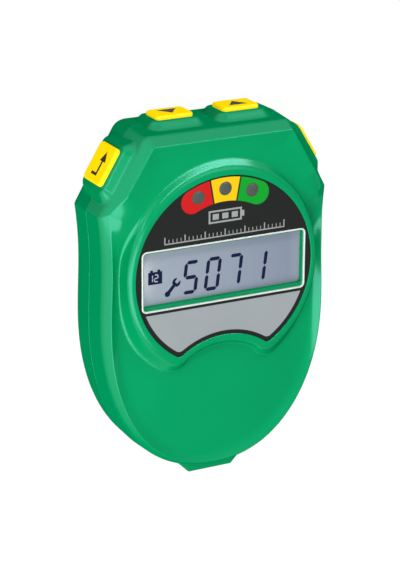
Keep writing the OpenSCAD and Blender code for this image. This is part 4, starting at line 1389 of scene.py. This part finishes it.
class TESTER_OT_stage(TesterOperator, bpy.types.Operator):
    """Lay the floor and set the sky, lights and camera"""

    bl_idname = "tester.stage"
    bl_label = "Stage"

    def execute(self, context):
        look = context.scene.tester_stage
        scene = context.scene
        scene.view_settings.view_transform = "Standard"
        self.floor()
        self.sky(scene, look.sky)
        aim = (0, 0, 0.02)
        area_light("softbox", (-0.7, -0.42, 0.86), aim, 1.2, 1.2, look.softbox)
        area_light("fill", (0.4, 0.45, 1.0), aim, 0.6, 0.6, look.fill)
        area_light("side", (-0.95, -0.15, 0.2), aim, 0.4, 0.3, look.side)
        area_light("strip", (0.15, 0.72, 0.47), aim, 1.2, 0.1, look.strip, (0.96, 0, -0.27))
        area_light("side_strip", (-0.86, 0.42, 0.33), aim, 0.1, 0.4, look.side_strip)
        self.camera(scene)
        return {"FINISHED"}

    @staticmethod
    def floor():
        """A wide pale floor just under the back, swept up at its far edge: a flat disc and a quarter
        circle, turned round. It glows to the camera, in gloss and through clear parts, and keeps a
        faint shadow."""
        flat, sweep, low, sides = 2.5, 1.2, -0.0002, 64
        bend = np.radians(np.arange(0, 91, 10))
        radius = np.concatenate([[0.5, 1.5], flat + sweep * np.sin(bend)])
        height = np.concatenate([[low, low], low + sweep * (1 - np.cos(bend))])
        around = turn(np.arange(sides) * 2 * math.pi / sides)
        rings = [np.pad(r * around, ((0, 0), (0, 1)), constant_values=z) for r, z in zip(radius, height)]
        points, faces = skin(rings, first_cap=np.array([0, 0, low]), last_cap=False)
        paint = Paint("floor_paper")
        fibres = paint.noise(300.0)
        shade = paint.mix(fibres, srgb(108, 108, 108), srgb(116, 116, 116))
        camera, glossy, through = paint.add("ShaderNodeLightPath", out=(0, 3, 6))
        material = paint.finish(
            Base_Color=shade,
            Roughness=0.9,
            Specular_IOR_Level=0.1,
            Emission_Color=paint.mix(camera.high(glossy).high(through), srgb(0, 0, 0), WHITE),
            Emission_Strength=0.9,
        )
        piece_from("floor", points, faces, material, None)

    @staticmethod
    def sky(scene, strength):
        """An even white sky."""
        world = bpy.data.worlds.new("sky")
        scene.world = world
        world.use_nodes = True
        light = world.node_tree.nodes["Background"]
        light.inputs["Color"].default_value = WHITE
        light.inputs["Strength"].default_value = strength

    @staticmethod
    def camera(scene):
        """A long lens over the head end, turned to the left. It looks at a point beside the dial's
        centre. focal is its length in pixels of a picture of that height."""
        yaw, pitch, roll = 0.47701, 0.33997, 0.00611
        distance, shift_x, shift_y = 0.9, 0.009985, 0.005877
        focal, height = 2230.36, 570
        back = Vector((-math.sin(yaw) * math.cos(pitch), math.sin(pitch), math.cos(yaw) * math.cos(pitch)))
        right = (-back).cross(Vector((0, 1, 0))).normalized()
        up = right.cross(-back)
        c, s = math.cos(roll), math.sin(roll)
        right, up = right * c + up * s, up * c - right * s
        data = bpy.data.cameras.new("camera")
        data.sensor_width = 36.0
        data.lens = focal / height * data.sensor_width
        data.clip_start, data.clip_end = 0.05, 20
        made = bpy.data.objects.new("camera", data)
        scene.collection.objects.link(made)
        dial = Vector((0, DIAL_Y, LABEL_Z))
        made.location = dial - right * shift_x - up * shift_y + back * distance
        made.rotation_mode = "QUATERNION"
        made.rotation_quaternion = Matrix((right, up, back)).transposed().to_quaternion()
        scene.camera = made


class TESTER_PT_panel(bpy.types.Panel):
    """Lists the tester's pieces and their settings"""

    bl_idname = "TESTER_PT_panel"
    bl_label = "Battery tester"
    bl_space_type = "VIEW_3D"
    bl_region_type = "UI"
    bl_category = "Tester"

    def draw(self, context):
        layout = self.layout
        for operator in OPERATORS:
            layout.operator(operator.bl_idname)
        for name in GROUPS:
            box = layout.box()
            group = getattr(context.scene, name)
            for key in group.__annotations__:
                box.prop(group, key)


OPERATORS = (
    TESTER_OT_stage,
    TESTER_OT_covers,
    TESTER_OT_dial,
    TESTER_OT_display,
    TESTER_OT_keys,
    TESTER_OT_inside,
)
GROUPS = {
    "tester_housing": HousingSettings,
    "tester_dial": DialSettings,
    "tester_keys": KeySettings,
    "tester_stage": StageSettings,
}


def register():
    """Adds the classes and the scene's settings."""
    for made in (*GROUPS.values(), *OPERATORS, TESTER_PT_panel):
        bpy.utils.register_class(made)
    for name, group in GROUPS.items():
        setattr(bpy.types.Scene, name, bpy.props.PointerProperty(type=group))


def unregister():
    """Takes the settings and the classes away again."""
    for name in GROUPS:
        delattr(bpy.types.Scene, name)
    for made in (TESTER_PT_panel, *reversed(OPERATORS), *reversed(list(GROUPS.values()))):
        bpy.utils.unregister_class(made)


def main():
    """Builds the stage and the dressed part."""
    register()
    bpy.ops.tester.stage()
    bpy.ops.tester.covers()
    bpy.ops.tester.dial()
    bpy.ops.tester.display()
    bpy.ops.tester.keys()
    bpy.ops.tester.inside()


if __name__ == "__main__":
    main()
